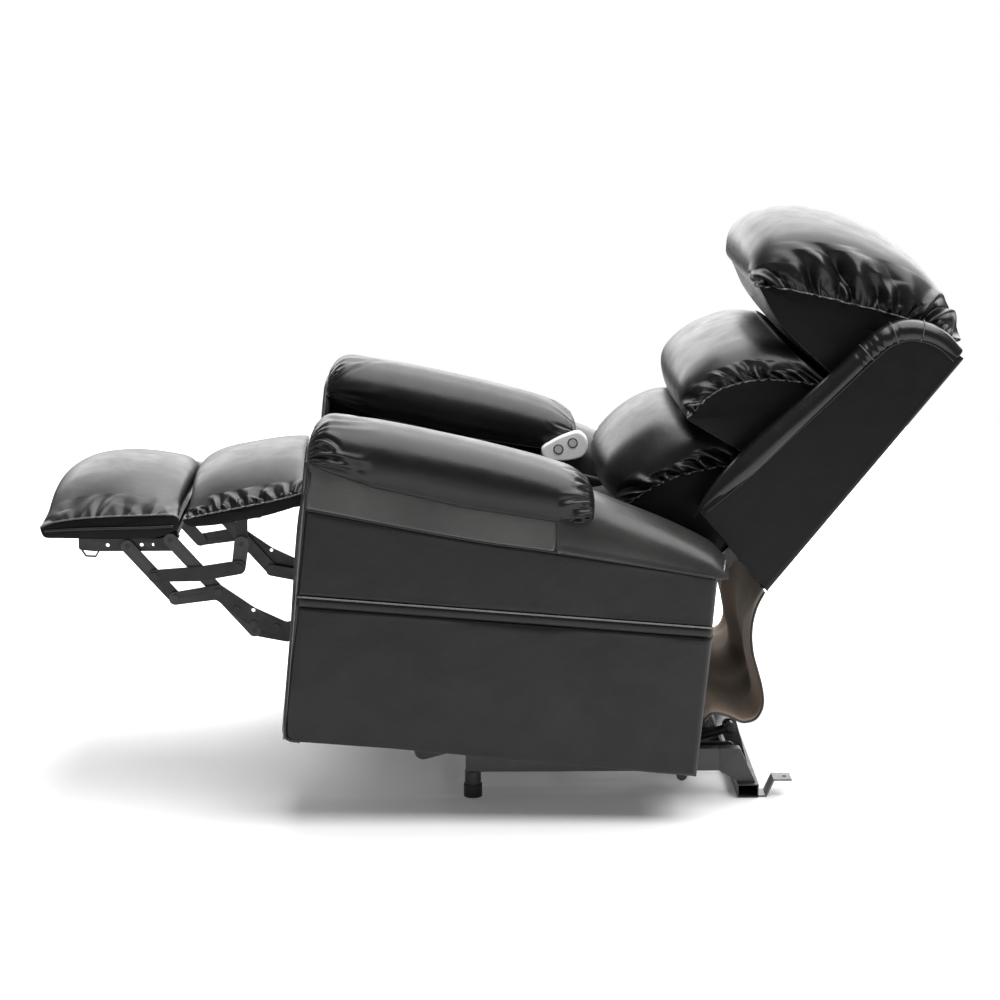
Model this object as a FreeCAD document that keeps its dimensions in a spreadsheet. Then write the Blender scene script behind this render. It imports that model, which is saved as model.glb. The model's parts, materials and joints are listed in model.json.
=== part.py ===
import FreeCAD, Part
import Sketcher
import math
import os

from FreeCAD import Placement, Rotation, Vector

# Lift recliner chair, shown reclined with its legrest out.
# Row frame: +Z up, the sitter faces -Y, +X is the sitter's left. Z = 0 is the floor.
# Millimetres. Side outlines are drawn in the Y-Z plane and padded along X.

os.makedirs("parts", exist_ok=True)
doc = FreeCAD.newDocument("LiftRecliner")
sheet = doc.addObject("Spreadsheet::Sheet", "Sizes")

# Driving dimensions: alias, value, what it is.
DIMENSIONS = [
    ("seat_gap", 262, "half the gap between the two arm boxes"),
    ("arm_outside", 430, "half the width over the side covers"),
    ("board", 15, "thickness of the plywood boards"),
    ("cover", 9, "thickness of the padded side covers"),
    ("arm_length", 757, "depth of an arm box"),
    ("body_tilt", 5, "degrees that the body leans back"),
    ("front_low_y", -402, "lower front corner of an arm box"),
    ("front_low_z", 164, "lower front corner of an arm box"),
    ("back_angle", 51.2, "slope of the backrest above the horizontal"),
    ("back_foot_y", 482, "lower rear corner of the backrest"),
    ("back_foot_z", 414, "lower rear corner of the backrest"),
    ("back_half", 325, "half the width of the backrest over its wings"),
    ("pillow_half", 258, "half the width of the middle and top pillows"),
    ("lumbar_half", 237, "half the width of the lower pillow"),
    ("seat_half", 246, "half the width of the seat cushion"),
    ("legrest_half", 257, "half the width of the legrest pads"),
    ("panel_half", 222, "half the width of the legrest boards"),
    ("flap_half", 340, "half the width of the rear flap"),
    ("flap_cloth", 3, "thickness of the rear flap"),
    ("link_steel", 4, "thickness of the legrest links"),
    ("link_half", 12, "half the width of a legrest link"),
    ("rivet", 5, "radius of a legrest rivet"),
    ("running_gap", 0.05, "radial gap of a running fit"),
    ("torque_radius", 9, "radius of the legrest torque tube"),
    ("lift_steel", 6, "thickness of the lift arms"),
    ("lift_half", 13, "half the width of a lift arm"),
    ("lift_pin", 6, "radius of a lift pivot"),
    ("base_length", 480, "length of a base rail"),
    ("rail_width", 22, "width of a base rail"),
    ("rail_height", 43, "height of a base rail"),
    ("rail_wall", 2, "wall of the base tubes"),
    ("foot_radius", 15.5, "radius of a foot post"),
    ("foot_cap", 17.5, "radius of a foot cap"),
    ("tube_radius", 12, "radius of the round cross tubes"),
    ("rod_radius", 10, "radius of an actuator rod"),
    ("barrel_radius", 17, "radius of an actuator barrel"),
    ("motor_radius", 22, "radius of an actuator motor"),
    ("ear_hole", 4.5, "radius of a floor anchor hole"),
    ("button_radius", 8, "radius of a handset button"),
]
for row, (alias, number, meaning) in enumerate(DIMENSIONS, start=1):
    sheet.set(f"A{row}", meaning)
    sheet.set(f"B{row}", str(number))
    sheet.setAlias(f"B{row}", alias)
doc.recompute()
EXPORTED = []


def size(alias):
    """The number in a cell of the sheet."""
    return float(sheet.get(alias))


def bind(thing, prop, formula):
    """Binds a property to the sheet: every alias in the formula is written with a dot in front."""
    thing.setExpression(prop, formula.replace("$", "Sizes."))


def keep(thing, label):
    """Marks an object as a sub-part and gives it the name of its file."""
    thing.Label = label
    EXPORTED.append(thing)
    return thing


# ---------------------------------------------------------------- outlines

def turned(point, degrees, centre=(0.0, 0.0)):
    """A Y-Z point turned about another, positive from +Y towards +Z."""
    angle = math.radians(degrees)
    dy = point[0] - centre[0]
    dz = point[1] - centre[1]
    return (centre[0] + dy * math.cos(angle) - dz * math.sin(angle),
            centre[1] + dy * math.sin(angle) + dz * math.cos(angle))


def on_back(along, depth, radius=0.0):
    """A point of the backrest: along it from its foot, and forward of its rear face."""
    y, z = turned((along, depth), size("back_angle"))
    return (size("back_foot_y") + y, size("back_foot_z") + z, radius)


def in_body(depth, height, radius=0.0):
    """A point of the leaning body: behind and above the lower front corner of the arm box."""
    y, z = turned((depth, height), -size("body_tilt"))
    return (size("front_low_y") + y, size("front_low_z") + z, radius)


def chain(points, halves):
    """The outline of a strip with round ends that runs through the points."""
    if not isinstance(halves, (list, tuple)):
        halves = [halves] * len(points)
    left = []
    right = []
    last = len(points) - 1
    for index, point in enumerate(points):
        before = points[max(index - 1, 0)]
        after = points[min(index + 1, last)]
        into = Vector(point[0] - before[0], point[1] - before[1], 0)
        out = Vector(after[0] - point[0], after[1] - point[1], 0)
        into = out if index == 0 else into
        out = into if index == last else out
        into.normalize()
        out.normalize()
        mean = into + out
        mean.normalize()
        half = halves[index]
        reach = half / max(mean.dot(into), 0.5)
        side = Vector(-mean.y, mean.x, 0) * reach
        end = Vector(0, 0, 0)
        round_off = half * 0.9
        if index == 0:
            end = -mean * half
            round_off = half * 0.96
        if index == last:
            end = mean * half
            round_off = half * 0.96
        left.append((point[0] + end.x + side.x, point[1] + end.y + side.y, round_off))
        right.append((point[0] + end.x - side.x, point[1] + end.y - side.y, round_off))
    return right + left[::-1]


def corner_arc(before, corner, after):
    """The two tangent points and the centre of a rounded corner, or None where it stays sharp."""
    radius = corner[2] if len(corner) > 2 else 0.0
    here = Vector(corner[0], corner[1], 0)
    back = Vector(before[0], before[1], 0) - here
    ahead = Vector(after[0], after[1], 0) - here
    turn = back.getAngle(ahead)
    if radius < 0.01 or math.pi - turn < 0.01:
        return None
    reach = min(radius / math.tan(turn / 2), 0.48 * back.Length, 0.48 * ahead.Length)
    radius = reach * math.tan(turn / 2)
    back.normalize()
    ahead.normalize()
    middle = (back + ahead).normalize()
    centre = here + middle * (radius / math.sin(turn / 2))
    return here + back * reach, here + ahead * reach, centre, radius


def draw_outline(sketch, points):
    """Draws a closed outline of lines and tangent arcs and joins its ends."""
    count = len(points)
    corners = [corner_arc(points[k - 1], points[k], points[(k + 1) % count]) for k in range(count)]
    joints = []
    for k in range(count):
        nxt = (k + 1) % count
        start = corners[k][1] if corners[k] else Vector(points[k][0], points[k][1], 0)
        stop = corners[nxt][0] if corners[nxt] else Vector(points[nxt][0], points[nxt][1], 0)
        line = sketch.addGeometry(Part.LineSegment(start, stop))
        joints.append((line, 1, 2))
        if corners[nxt]:
            begin, end, centre, radius = corners[nxt]
            a0 = math.atan2(begin.y - centre.y, begin.x - centre.x)
            a1 = math.atan2(end.y - centre.y, end.x - centre.x)
            forwards = (a1 - a0) % (2 * math.pi) < math.pi
            if not forwards:
                a0, a1 = a1, a0
            circle = Part.Circle(centre, Vector(0, 0, 1), radius)
            arc = sketch.addGeometry(Part.ArcOfCircle(circle, a0, a0 + (a1 - a0) % (2 * math.pi)))
            joints.append((arc, 1, 2) if forwards else (arc, 2, 1))
    for k in range(len(joints)):
        this = joints[k]
        following = joints[(k + 1) % len(joints)]
        sketch.addConstraint(Sketcher.Constraint("Coincident", this[0], this[2], following[0], following[1]))


def side_sketch(body, name, offset=0.0):
    """A sketch on the body's own Y-Z plane: its x is Y and its y is Z."""
    sketch = body.newObject("Sketcher::SketchObject", name)
    plane = [f for f in body.Origin.OriginFeatures if f.Role == "YZ_Plane"][0]
    sketch.AttachmentSupport = (plane, [""])
    sketch.MapMode = "FlatFace"
    sketch.AttachmentOffset = Placement(Vector(0, 0, offset), Rotation())
    return sketch


def draw_holes(sketch, holes):
    for y, z, radius in holes:
        circle = sketch.addGeometry(Part.Circle(Vector(y, z, 0), Vector(0, 0, 1), size_of(radius)))
        number = sketch.addConstraint(Sketcher.Constraint("Radius", circle, size_of(radius)))
        if isinstance(radius, str):
            bind(sketch, f"Constraints[{number}]", radius)


def size_of(formula):
    """A number, or the value of a formula such as "$rivet + $running_gap"."""
    if not isinstance(formula, str):
        return float(formula)
    total = 0.0
    for term in formula.replace("-", "+-").split("+"):
        term = term.strip()
        if not term:
            continue
        sign = -1.0 if term.startswith("-") else 1.0
        product = sign
        for factor in term.lstrip("-").split("*"):
            factor = factor.strip()
            product *= size(factor[1:]) if factor.startswith("$") else float(factor)
        total += product
    return total


def plate(name, outline, start, thickness, holes=(), studs=(), extra=()):
    """A body padded along +X from start: its outline, holes through it, and studs or more pads on it.

    start and thickness are numbers or sheet formulas. A stud is (y, z, radius, from x, to x) and an
    extra pad is (outline, from x, to x, its holes), all measured from the chair's middle plane."""
    body = doc.addObject("PartDesign::Body", name)
    at = size_of(start)
    body.Placement = Placement(Vector(at, 0, 0), Rotation())
    if isinstance(start, str):
        bind(body, ".Placement.Base.x", start)
    sketch = side_sketch(body, name + "_outline")
    draw_outline(sketch, outline)
    draw_holes(sketch, holes)
    pad = body.newObject("PartDesign::Pad", name + "_pad")
    pad.Profile = sketch
    pad.Length = size_of(thickness)
    if isinstance(thickness, str):
        bind(pad, "Length", thickness)
    for number, (y, z, radius, low, high) in enumerate(studs):
        drawn = side_sketch(body, f"{name}_stud_{number}", low - at)
        draw_holes(drawn, [(y, z, radius)])
        stud = body.newObject("PartDesign::Pad", f"{name}_stud_pad_{number}")
        stud.Profile = drawn
        stud.Length = high - low
    for number, (more, low, high, more_holes) in enumerate(extra):
        drawn = side_sketch(body, f"{name}_more_{number}", low - at)
        draw_outline(drawn, more)
        draw_holes(drawn, more_holes)
        added = body.newObject("PartDesign::Pad", f"{name}_more_pad_{number}")
        added.Profile = drawn
        added.Length = high - low
    return body


def cushion(name, outline, start, width, softness):
    """A soft block: an outline padded along X whose end edges are rounded off."""
    body = plate(name, outline, start, width)
    doc.recompute()
    pad = body.Tip
    ends = []
    for number, face in enumerate(pad.Shape.Faces, start=1):
        flat = face.Surface.TypeId == "Part::GeomPlane"
        if flat and abs(face.normalAt(0, 0).x) > 0.99:
            ends.append(f"Face{number}")
    fillet = body.newObject("PartDesign::Fillet", name + "_round")
    fillet.Base = (pad, ends)
    fillet.Radius = softness
    doc.recompute()
    if "Invalid" in fillet.State or fillet.Shape.isNull() or not fillet.Shape.isValid():
        print("rounding left out on", name)
        doc.removeObject(fillet.Name)
        body.Tip = pad
        doc.recompute()
    return body


def mirrored(source, name):
    """The same piece on the sitter's right."""
    twin = doc.addObject("Part::Mirroring", name)
    twin.Source = source
    twin.Normal = Vector(1, 0, 0)
    twin.Base = Vector(0, 0, 0)
    return twin


def pair(source, label):
    """A piece and its mirror image as one node of two solids."""
    twin = mirrored(source, source.Name + "_right")
    both = doc.addObject("Part::Compound", label)
    both.Links = [source, twin]
    return keep(both, label)


def left_and_right(source, label):
    """A piece and its mirror image as two nodes."""
    keep(source, label + "_left")
    keep(mirrored(source, label + "_right"), label + "_right")


def block(name, low, high):
    """A box between two corners, given as numbers or sheet formulas."""
    box = doc.addObject("Part::Box", name)
    for axis, prop in enumerate(("Length", "Width", "Height")):
        formula = f"({high[axis]}) - ({low[axis]})"
        setattr(box, prop, size_of(high[axis]) - size_of(low[axis]))
        if "$" in formula:
            bind(box, prop, formula)
    box.Placement = Placement(Vector(*[size_of(v) for v in low]), Rotation())
    return box


def rod_along_x(name, y, z, radius, x_from, x_to):
    """A round bar along X."""
    bar = doc.addObject("Part::Cylinder", name)
    bar.Radius = size_of(radius)
    bar.Height = x_to - x_from
    if isinstance(radius, str):
        bind(bar, "Radius", radius)
    bar.Placement = Placement(Vector(x_from, y, z), Rotation(Vector(0, 1, 0), 90))
    return bar


def upright_rod(name, x, y, radius, z_from, z_to):
    """A round bar along Z."""
    bar = doc.addObject("Part::Cylinder", name)
    bar.Radius = size_of(radius)
    bar.Height = z_to - z_from
    if isinstance(radius, str):
        bind(bar, "Radius", radius)
    bar.Placement = Placement(Vector(x, y, z_from), Rotation())
    return bar


def cut(name, base, tool):
    result = doc.addObject("Part::Cut", name)
    result.Base = base
    result.Tool = tool
    return result


def fuse(name, shapes):
    result = doc.addObject("Part::MultiFuse", name)
    result.Shapes = shapes
    return result


# ---------------------------------------------------------------- pivots, Y and Z at the rest pose

CHAISE_HINGE = (-360.0, 572.0)
FOOT_PIVOT_FRONT = (-698.0, 486.0)
FOOT_CRANK = (-80.0, -12.0)
DRIVE_PIVOT = (-531.0, 399.0)
CHAISE_PIN = (-486.0, 490.0)
MIDDLE_PIVOT = (-492.0, 446.0)

ELBOW = (DRIVE_PIVOT[0] + FOOT_CRANK[0], DRIVE_PIVOT[1] + FOOT_CRANK[1])
OUTER_LINK = (FOOT_PIVOT_FRONT[0] - ELBOW[0], FOOT_PIVOT_FRONT[1] - ELBOW[1])
FOOT_PIVOT_REAR = (DRIVE_PIVOT[0] + OUTER_LINK[0], DRIVE_PIVOT[1] + OUTER_LINK[1])
OUTER_PIVOT = (ELBOW[0] + 0.44 * OUTER_LINK[0], ELBOW[1] + 0.44 * OUTER_LINK[1])
# Every link turns with the drive link or keeps its slope, so the loops close exactly: the chaise
# hinge, the three steps along the links and the drive link add up to nothing.
DRIVE_LINK = (
    CHAISE_PIN[0] - CHAISE_HINGE[0] - FOOT_CRANK[0] - (MIDDLE_PIVOT[0] - OUTER_PIVOT[0]),
    CHAISE_PIN[1] - CHAISE_HINGE[1] - FOOT_CRANK[1] - (MIDDLE_PIVOT[1] - OUTER_PIVOT[1]),
)
TORQUE_PIVOT = (DRIVE_PIVOT[0] - DRIVE_LINK[0], DRIVE_PIVOT[1] - DRIVE_LINK[1])
ROCKER_TAIL = 0.76
CONTROL_PIN = (DRIVE_PIVOT[0] - ROCKER_TAIL * OUTER_LINK[0], DRIVE_PIVOT[1] - ROCKER_TAIL * OUTER_LINK[1])
CONTROL_PIVOT = (CONTROL_PIN[0] - DRIVE_LINK[0], CONTROL_PIN[1] - DRIVE_LINK[1])

RECLINE_PIVOT = (310.0, 400.0)
MOTOR_TUBE = (10.0, 432.0)
LIFT_MAIN_BASE = (250.6, 120.0)
LIFT_MAIN_SEAT = (-60.0, 107.1)
LIFT_REAR_BASE = (430.0, 83.7)
LIFT_REAR_SEAT = (0.0, 85.0)
LIFT_MOTOR = (440.0, 105.0)
LIFT_BAR = (150.7, 115.8)
LIFT_CRANK = turned((LIFT_MAIN_BASE[0], LIFT_MAIN_BASE[1] - 75), 18.45, LIFT_MAIN_BASE)
LEGREST_CRANK = turned((TORQUE_PIVOT[0], TORQUE_PIVOT[1] - 55), -44, TORQUE_PIVOT)
RECLINE_CRANK = turned((RECLINE_PIVOT[0], RECLINE_PIVOT[1] - 95), -12.5, RECLINE_PIVOT)

# Planes of the links, half a chair width out: where each plate's inner face stands.
PIVOT_PLATE_X = 228.0
BRACKET_X = 233.0
ROCKER_X = 238.0
DRIVE_X = 243.0
SIDE_PLATE_X = 248.0
TOWER_X = 208.5
LIFT_MAIN_X = 214.5
LIFT_REAR_X = 224.5
CRADLE_X = 231.5
RAIL_X = 240.0

RUNNING = "$rivet + $running_gap"
LIFT_RUNNING = "$lift_pin + $running_gap"
RIVET_HEAD = 7.5
# The rear lift arms meet the chair at the one pivot where their closed loop is opened.
LOOSE_PIVOT = 0.35


# ---------------------------------------------------------------- base on the floor

FOOT_X = 251.0
FOOT_Y = -56.0
TOWER_TUBE = (340.0, 40.0)
CRADLE_TUBE = (-150.0, 84.0)


def base_frame():
    """Two rails on front foot posts and a rear tube that lies on the floor, with the lift towers."""
    outer = block("rail_outer", (RAIL_X, -70, 50),
                  ("240 + $rail_width", "-70 + $base_length", "50 + $rail_height"))
    inner = block("rail_inner", ("240 + $rail_wall", -71, "50 + $rail_wall"),
                  ("240 + $rail_width - $rail_wall", "-69 + $base_length", "50 + $rail_height - $rail_wall"))
    pair(cut("base_rail", outer, inner), "base_rails")

    pair(upright_rod("foot_post", FOOT_X, FOOT_Y, "$foot_radius", 6, 50), "foot_posts")
    cup = upright_rod("foot_cup", FOOT_X, FOOT_Y, "$foot_cap", 0, 24)
    socket = upright_rod("foot_socket", FOOT_X, FOOT_Y, "$foot_radius", 6, 25)
    pair(cut("foot_cap_piece", cup, socket), "foot_caps")

    outer = rod_along_x("front_tube_outer", FOOT_Y, 64, "$tube_radius", -RAIL_X, RAIL_X)
    inner = rod_along_x("front_tube_inner", FOOT_Y, 64, "$tube_radius - $rail_wall", -RAIL_X - 1, RAIL_X + 1)
    keep(cut("front_tube", outer, inner), "base_front_tube")

    outer = block("rear_tube_outer", (-275, 445, 0), (275, 485, 26))
    inner = block("rear_tube_inner", (-276, "445 + $rail_wall", "$rail_wall"),
                  (276, "485 - $rail_wall", "26 - $rail_wall"))
    tube = cut("rear_tube", outer, inner)
    bracket = [(452, 25), (478, 25), (453, 118, 11), (427, 118, 11), (427, 92, 11)]
    foot = plate("motor_foot", bracket, 146, 6, studs=[LIFT_MOTOR + ("$lift_pin", 152, 172)])
    keep(fuse("rear_weldment", [tube, foot]), "base_rear_tube")

    y, z = LIFT_REAR_BASE
    leg = plate("rear_leg", [(410, 93, 2), (410, 50, 2), (452, 26), (480, 26), (450, 93, 6)],
                RAIL_X, "$rail_width",
                studs=[(y, z, "$lift_pin + 3", LIFT_REAR_X + 6.3, RAIL_X),
                       (y, z, "$lift_pin", LIFT_REAR_X - 0.5, LIFT_REAR_X + 6.3),
                       (y, z, "$lift_pin + 3", LIFT_REAR_X - 2.8, LIFT_REAR_X - 0.2)])
    pair(leg, "rear_legs")

    strap = plate("anchor_strap", chain([(486.5, 1.5), (500, 1.5), (514, 33), (547, 33)], 1.5), 231, 40)
    drill = upright_rod("strap_drill", FOOT_X, 536, "$ear_hole", 20, 50)
    pair(cut("strap_drilled", strap, drill), "anchor_straps")

    y, z = LIFT_MAIN_BASE
    tower = plate("lift_tower", chain([TOWER_TUBE, LIFT_MAIN_BASE], 15), TOWER_X, 5,
                  studs=[(y, z, "$lift_pin", TOWER_X + 5, LIFT_MAIN_X + 6.2),
                         (y, z, "$lift_pin + 3", LIFT_MAIN_X + 6.2, LIFT_MAIN_X + 8.8)])
    reach = RAIL_X + size("rail_width")
    bar = rod_along_x("tower_bar", TOWER_TUBE[0], TOWER_TUBE[1], 10, -reach, reach)
    keep(fuse("tower_weldment", [bar, tower, mirrored(tower, "lift_tower_right")]), "lift_towers")


# ---------------------------------------------------------------- lift linkage

def lift_linkage():
    """Two pairs of arms that raise the chair and tip it forward, and the cross tube that drives them."""
    gap = size_of(LIFT_RUNNING)
    half = size("lift_half")
    main = plate("lift_main_arm", chain([LIFT_MAIN_SEAT, LIFT_BAR, LIFT_MAIN_BASE], half),
                 LIFT_MAIN_X, "$lift_steel", holes=[LIFT_MAIN_SEAT + (gap,), LIFT_MAIN_BASE + (gap,)])
    pair(main, "lift_main_arms")
    rear = plate("lift_rear_arm", chain([LIFT_REAR_SEAT, LIFT_REAR_BASE], half), LIFT_REAR_X, "$lift_steel",
                 holes=[LIFT_REAR_SEAT + (gap + LOOSE_PIVOT,), LIFT_REAR_BASE + (gap,)])
    pair(rear, "lift_rear_arms")
    crank = plate("lift_crank", chain([LIFT_BAR, (212, 74), LIFT_CRANK], 11.0), 174, 5,
                  studs=[LIFT_CRANK + ("$rivet", 156, 174)])
    bar = rod_along_x("lift_bar", *LIFT_BAR, "$tube_radius", -LIFT_MAIN_X, LIFT_MAIN_X)
    keep(fuse("lift_bar_and_crank", [bar, crank]), "lift_cross_tube")


def actuator(name, base, pin, side, motor_side, eye, barrel, rod_start, travel, slack, slot=0.0):
    """An electric actuator: a geared motor beside a barrel, hung on a pivot, and the rod that it drives.

    side is its plane, motor_side the direction of the motor, barrel the stretch of the barrel along
    the axis, travel the room behind the rod, eye the radius of the rear pivot and slack the clearance
    round the crank pin. With a slot, the rod ends in a fork whose window hangs that far below the axis."""
    length = math.hypot(pin[0] - base[0], pin[1] - base[1])
    slope = math.degrees(math.atan2(pin[1] - base[1], pin[0] - base[0]))
    spin = Rotation(Vector(1, 0, 0), slope - 90)
    forward = Vector(0, math.cos(math.radians(slope)), math.sin(math.radians(slope)))
    foot = Vector(side, base[0], base[1])

    def bar(tag, radius, low, high, aside=0.0):
        piece = doc.addObject("Part::Cylinder", f"{name}_{tag}")
        piece.Radius = size_of(radius)
        piece.Height = high - low
        if isinstance(radius, str):
            bind(piece, "Radius", radius)
        piece.Placement = Placement(foot + forward * low + Vector(aside, 0, 0), spin)
        return piece

    def slab(tag, wide, thick, low, high, aside=0.0):
        piece = doc.addObject("Part::Box", f"{name}_{tag}")
        piece.Length = wide
        piece.Width = thick
        piece.Height = high - low
        corner = Vector(-wide / 2, -thick / 2, 0)
        piece.Placement = Placement(foot + forward * low + Vector(aside, 0, 0) + spin.multVec(corner), spin)
        return piece

    offset = motor_side * (size("barrel_radius") + size("motor_radius") + 2)
    rear_eye = rod_along_x(f"{name}_rear_eye", base[0], base[1], eye + 6, side - 7, side + 7)
    neck = bar("neck", 9, eye + 3, barrel[0] + 2)
    tube = bar("barrel", "$barrel_radius", barrel[0], barrel[1])
    gearbox = slab("gearbox", abs(offset) + 30, 36, barrel[0], barrel[0] + 26, offset / 2)
    motor_end = barrel[0] + 44 + 0.42 * (barrel[1] - barrel[0])
    motor = bar("can", "$motor_radius", barrel[0] + 20, motor_end, offset)
    solid = fuse(f"{name}_casing", [rear_eye, neck, tube, gearbox, motor])
    bore = bar("bore", "$rod_radius + $running_gap", rod_start - travel, barrel[1] + 2)
    hole = rod_along_x(f"{name}_eye_hole", base[0], base[1], eye + size("running_gap"), side - 8, side + 8)
    opened = cut(f"{name}_bored", solid, fuse(f"{name}_openings", [bore, hole]))
    keep(opened, name + "_motor")

    rod = bar("shaft", "$rod_radius", rod_start, length - 10)
    if slot:
        head = slab("fork", 14, 2 * slot + 34, length - 12, length + 12)
        window = slab("window", 16, 2 * slot + 20, length - 7, length + 7)
        shift = spin.multVec(Vector(0, -slot, 0))
        if shift.z > 0:
            shift = shift * -1
        head.Placement.Base = head.Placement.Base + shift
        window.Placement.Base = window.Placement.Base + shift
    else:
        head = rod_along_x(f"{name}_head", pin[0], pin[1], size("rivet") + slack + 5, side - 7, side + 7)
        window = rod_along_x(f"{name}_window", pin[0], pin[1], size("rivet") + slack, side - 8, side + 8)
    keep(cut(f"{name}_rod_open", fuse(f"{name}_rod_solid", [rod, head]), window), name + "_rod")


def actuators():
    eye = size("tube_radius")
    actuator("lift", LIFT_MOTOR, LIFT_CRANK, 163, -1, size("lift_pin"), (26, 118), 50, 4, 2.4)
    actuator("legrest", MOTOR_TUBE, LEGREST_CRANK, 60, 1, eye, (30, 226), 132, 80, 2.0, slot=6.0)
    actuator("recline", MOTOR_TUBE, RECLINE_CRANK, -60, -1, eye, (30, 190), 84, 4, 1.5)


# ---------------------------------------------------------------- seat frame between the arms

FRONT_RAIL = (-302.0, -277.0, 495.0, 520.0)
REAR_RAIL = (60.0, 85.0, 462.0, 487.0)


def seat_frame():
    """The steel seat box: side plates, cross rails, webbing and the cradle that the lift arms carry."""
    torque_hole = size("torque_radius") + size("running_gap")
    tube_hole = size("tube_radius") + size("running_gap")
    rail_tabs = [[(-306, 478), (-273, 474), (-273, 519, 3), (-306, 519, 3)],
                 [(56, 430), (89, 428), (89, 486, 3), (56, 486, 3)]]
    side = plate("seat_side",
                 chain([CHAISE_HINGE, TORQUE_PIVOT, (-150, 462), RECLINE_PIVOT], [13, 17, 18, 18]),
                 SIDE_PLATE_X, "$link_steel",
                 holes=[CHAISE_HINGE + ("$lift_pin + $running_gap",), TORQUE_PIVOT + (torque_hole,),
                        RECLINE_PIVOT + (8 + size("running_gap"),)],
                 extra=[(tab, SIDE_PLATE_X, SIDE_PLATE_X + 4, []) for tab in rail_tabs],
                 studs=[(-100, 455, 6, SIDE_PLATE_X + 4, 262), (200, 415, 6, SIDE_PLATE_X + 4, 262)])
    pair(side, "seat_side_plates")

    y, z = CONTROL_PIVOT
    hanger = [(-344, 470, 10), (-344, 495, 6), (-277, 495, 3),
              (-246, 409, 8), (-256, 395, 6), (-276, 397, 10)]
    inner = plate("pivot_plate", hanger, PIVOT_PLATE_X, "$link_steel", holes=[TORQUE_PIVOT + (torque_hole,)],
                  studs=[(y, z, "$rivet", PIVOT_PLATE_X + 4, BRACKET_X + 4)])
    pair(inner, "pivot_plates")

    rails = []
    for name, (y_low, y_high, z_low, z_high) in (("front_rail", FRONT_RAIL), ("rear_rail", REAR_RAIL)):
        outer = block(name + "_outer", (-SIDE_PLATE_X, y_low, z_low), (SIDE_PLATE_X, y_high, z_high))
        inner = block(name + "_inner", (-SIDE_PLATE_X - 1, y_low + 2, z_low + 2),
                      (SIDE_PLATE_X + 1, y_high - 2, z_high - 2))
        rails.append(cut(name, outer, inner))
    both = doc.addObject("Part::Compound", "seat_cross_rails")
    both.Links = rails
    keep(both, "seat_cross_rails")

    straps = []
    run = chain([(-301, 521), (-276, 521), (61, 488), (86, 488)], 1)
    for number in range(6):
        straps.append(plate(f"webbing_{number}", run, -220 + number * 78, 50))
    webbing = doc.addObject("Part::Compound", "seat_webbing")
    webbing.Links = straps
    keep(webbing, "seat_webbing")

    y1, z1 = LIFT_MAIN_SEAT
    y2, z2 = LIFT_REAR_SEAT
    cradle = plate("cradle", chain([LIFT_REAR_SEAT, LIFT_MAIN_SEAT, CRADLE_TUBE], [14, 16, 17]), CRADLE_X, 5,
                   holes=[CRADLE_TUBE + (tube_hole,)],
                   extra=[(chain([(-42, 104), (-25, 300), MOTOR_TUBE], [14, 15, 17]), CRADLE_X, CRADLE_X + 5,
                           [MOTOR_TUBE + (tube_hole,)])],
                   studs=[(y2, z2, "$lift_pin", LIFT_REAR_X - 0.5, CRADLE_X),
                          (y2, z2, "$lift_pin + 3", LIFT_REAR_X - 2.8, LIFT_REAR_X - 0.2),
                          (y1, z1, "$lift_pin + 3", LIFT_MAIN_X + 6.2, CRADLE_X),
                          (y1, z1, "$lift_pin", LIFT_MAIN_X - 0.5, LIFT_MAIN_X + 6.2),
                          (y1, z1, "$lift_pin + 3", LIFT_MAIN_X - 2.8, LIFT_MAIN_X - 0.2)])
    pair(cradle, "cradle_plates")
    edge = CRADLE_X + 5
    tubes = doc.addObject("Part::Compound", "cradle_tubes")
    tubes.Links = [rod_along_x("cradle_bar", *CRADLE_TUBE, "$tube_radius", -edge, edge),
                   rod_along_x("motor_bar", *MOTOR_TUBE, "$tube_radius", -SIDE_PLATE_X, SIDE_PLATE_X)]
    keep(tubes, "cradle_tubes")

    box = block("control_box_outer", (118, 62, 424), (206, 150, 462))
    inlet = block("power_inlet", (148, 138, 434), (176, 151, 452))
    keep(cut("control_box_open", box, inlet), "control_box")


# ---------------------------------------------------------------- arms

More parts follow.
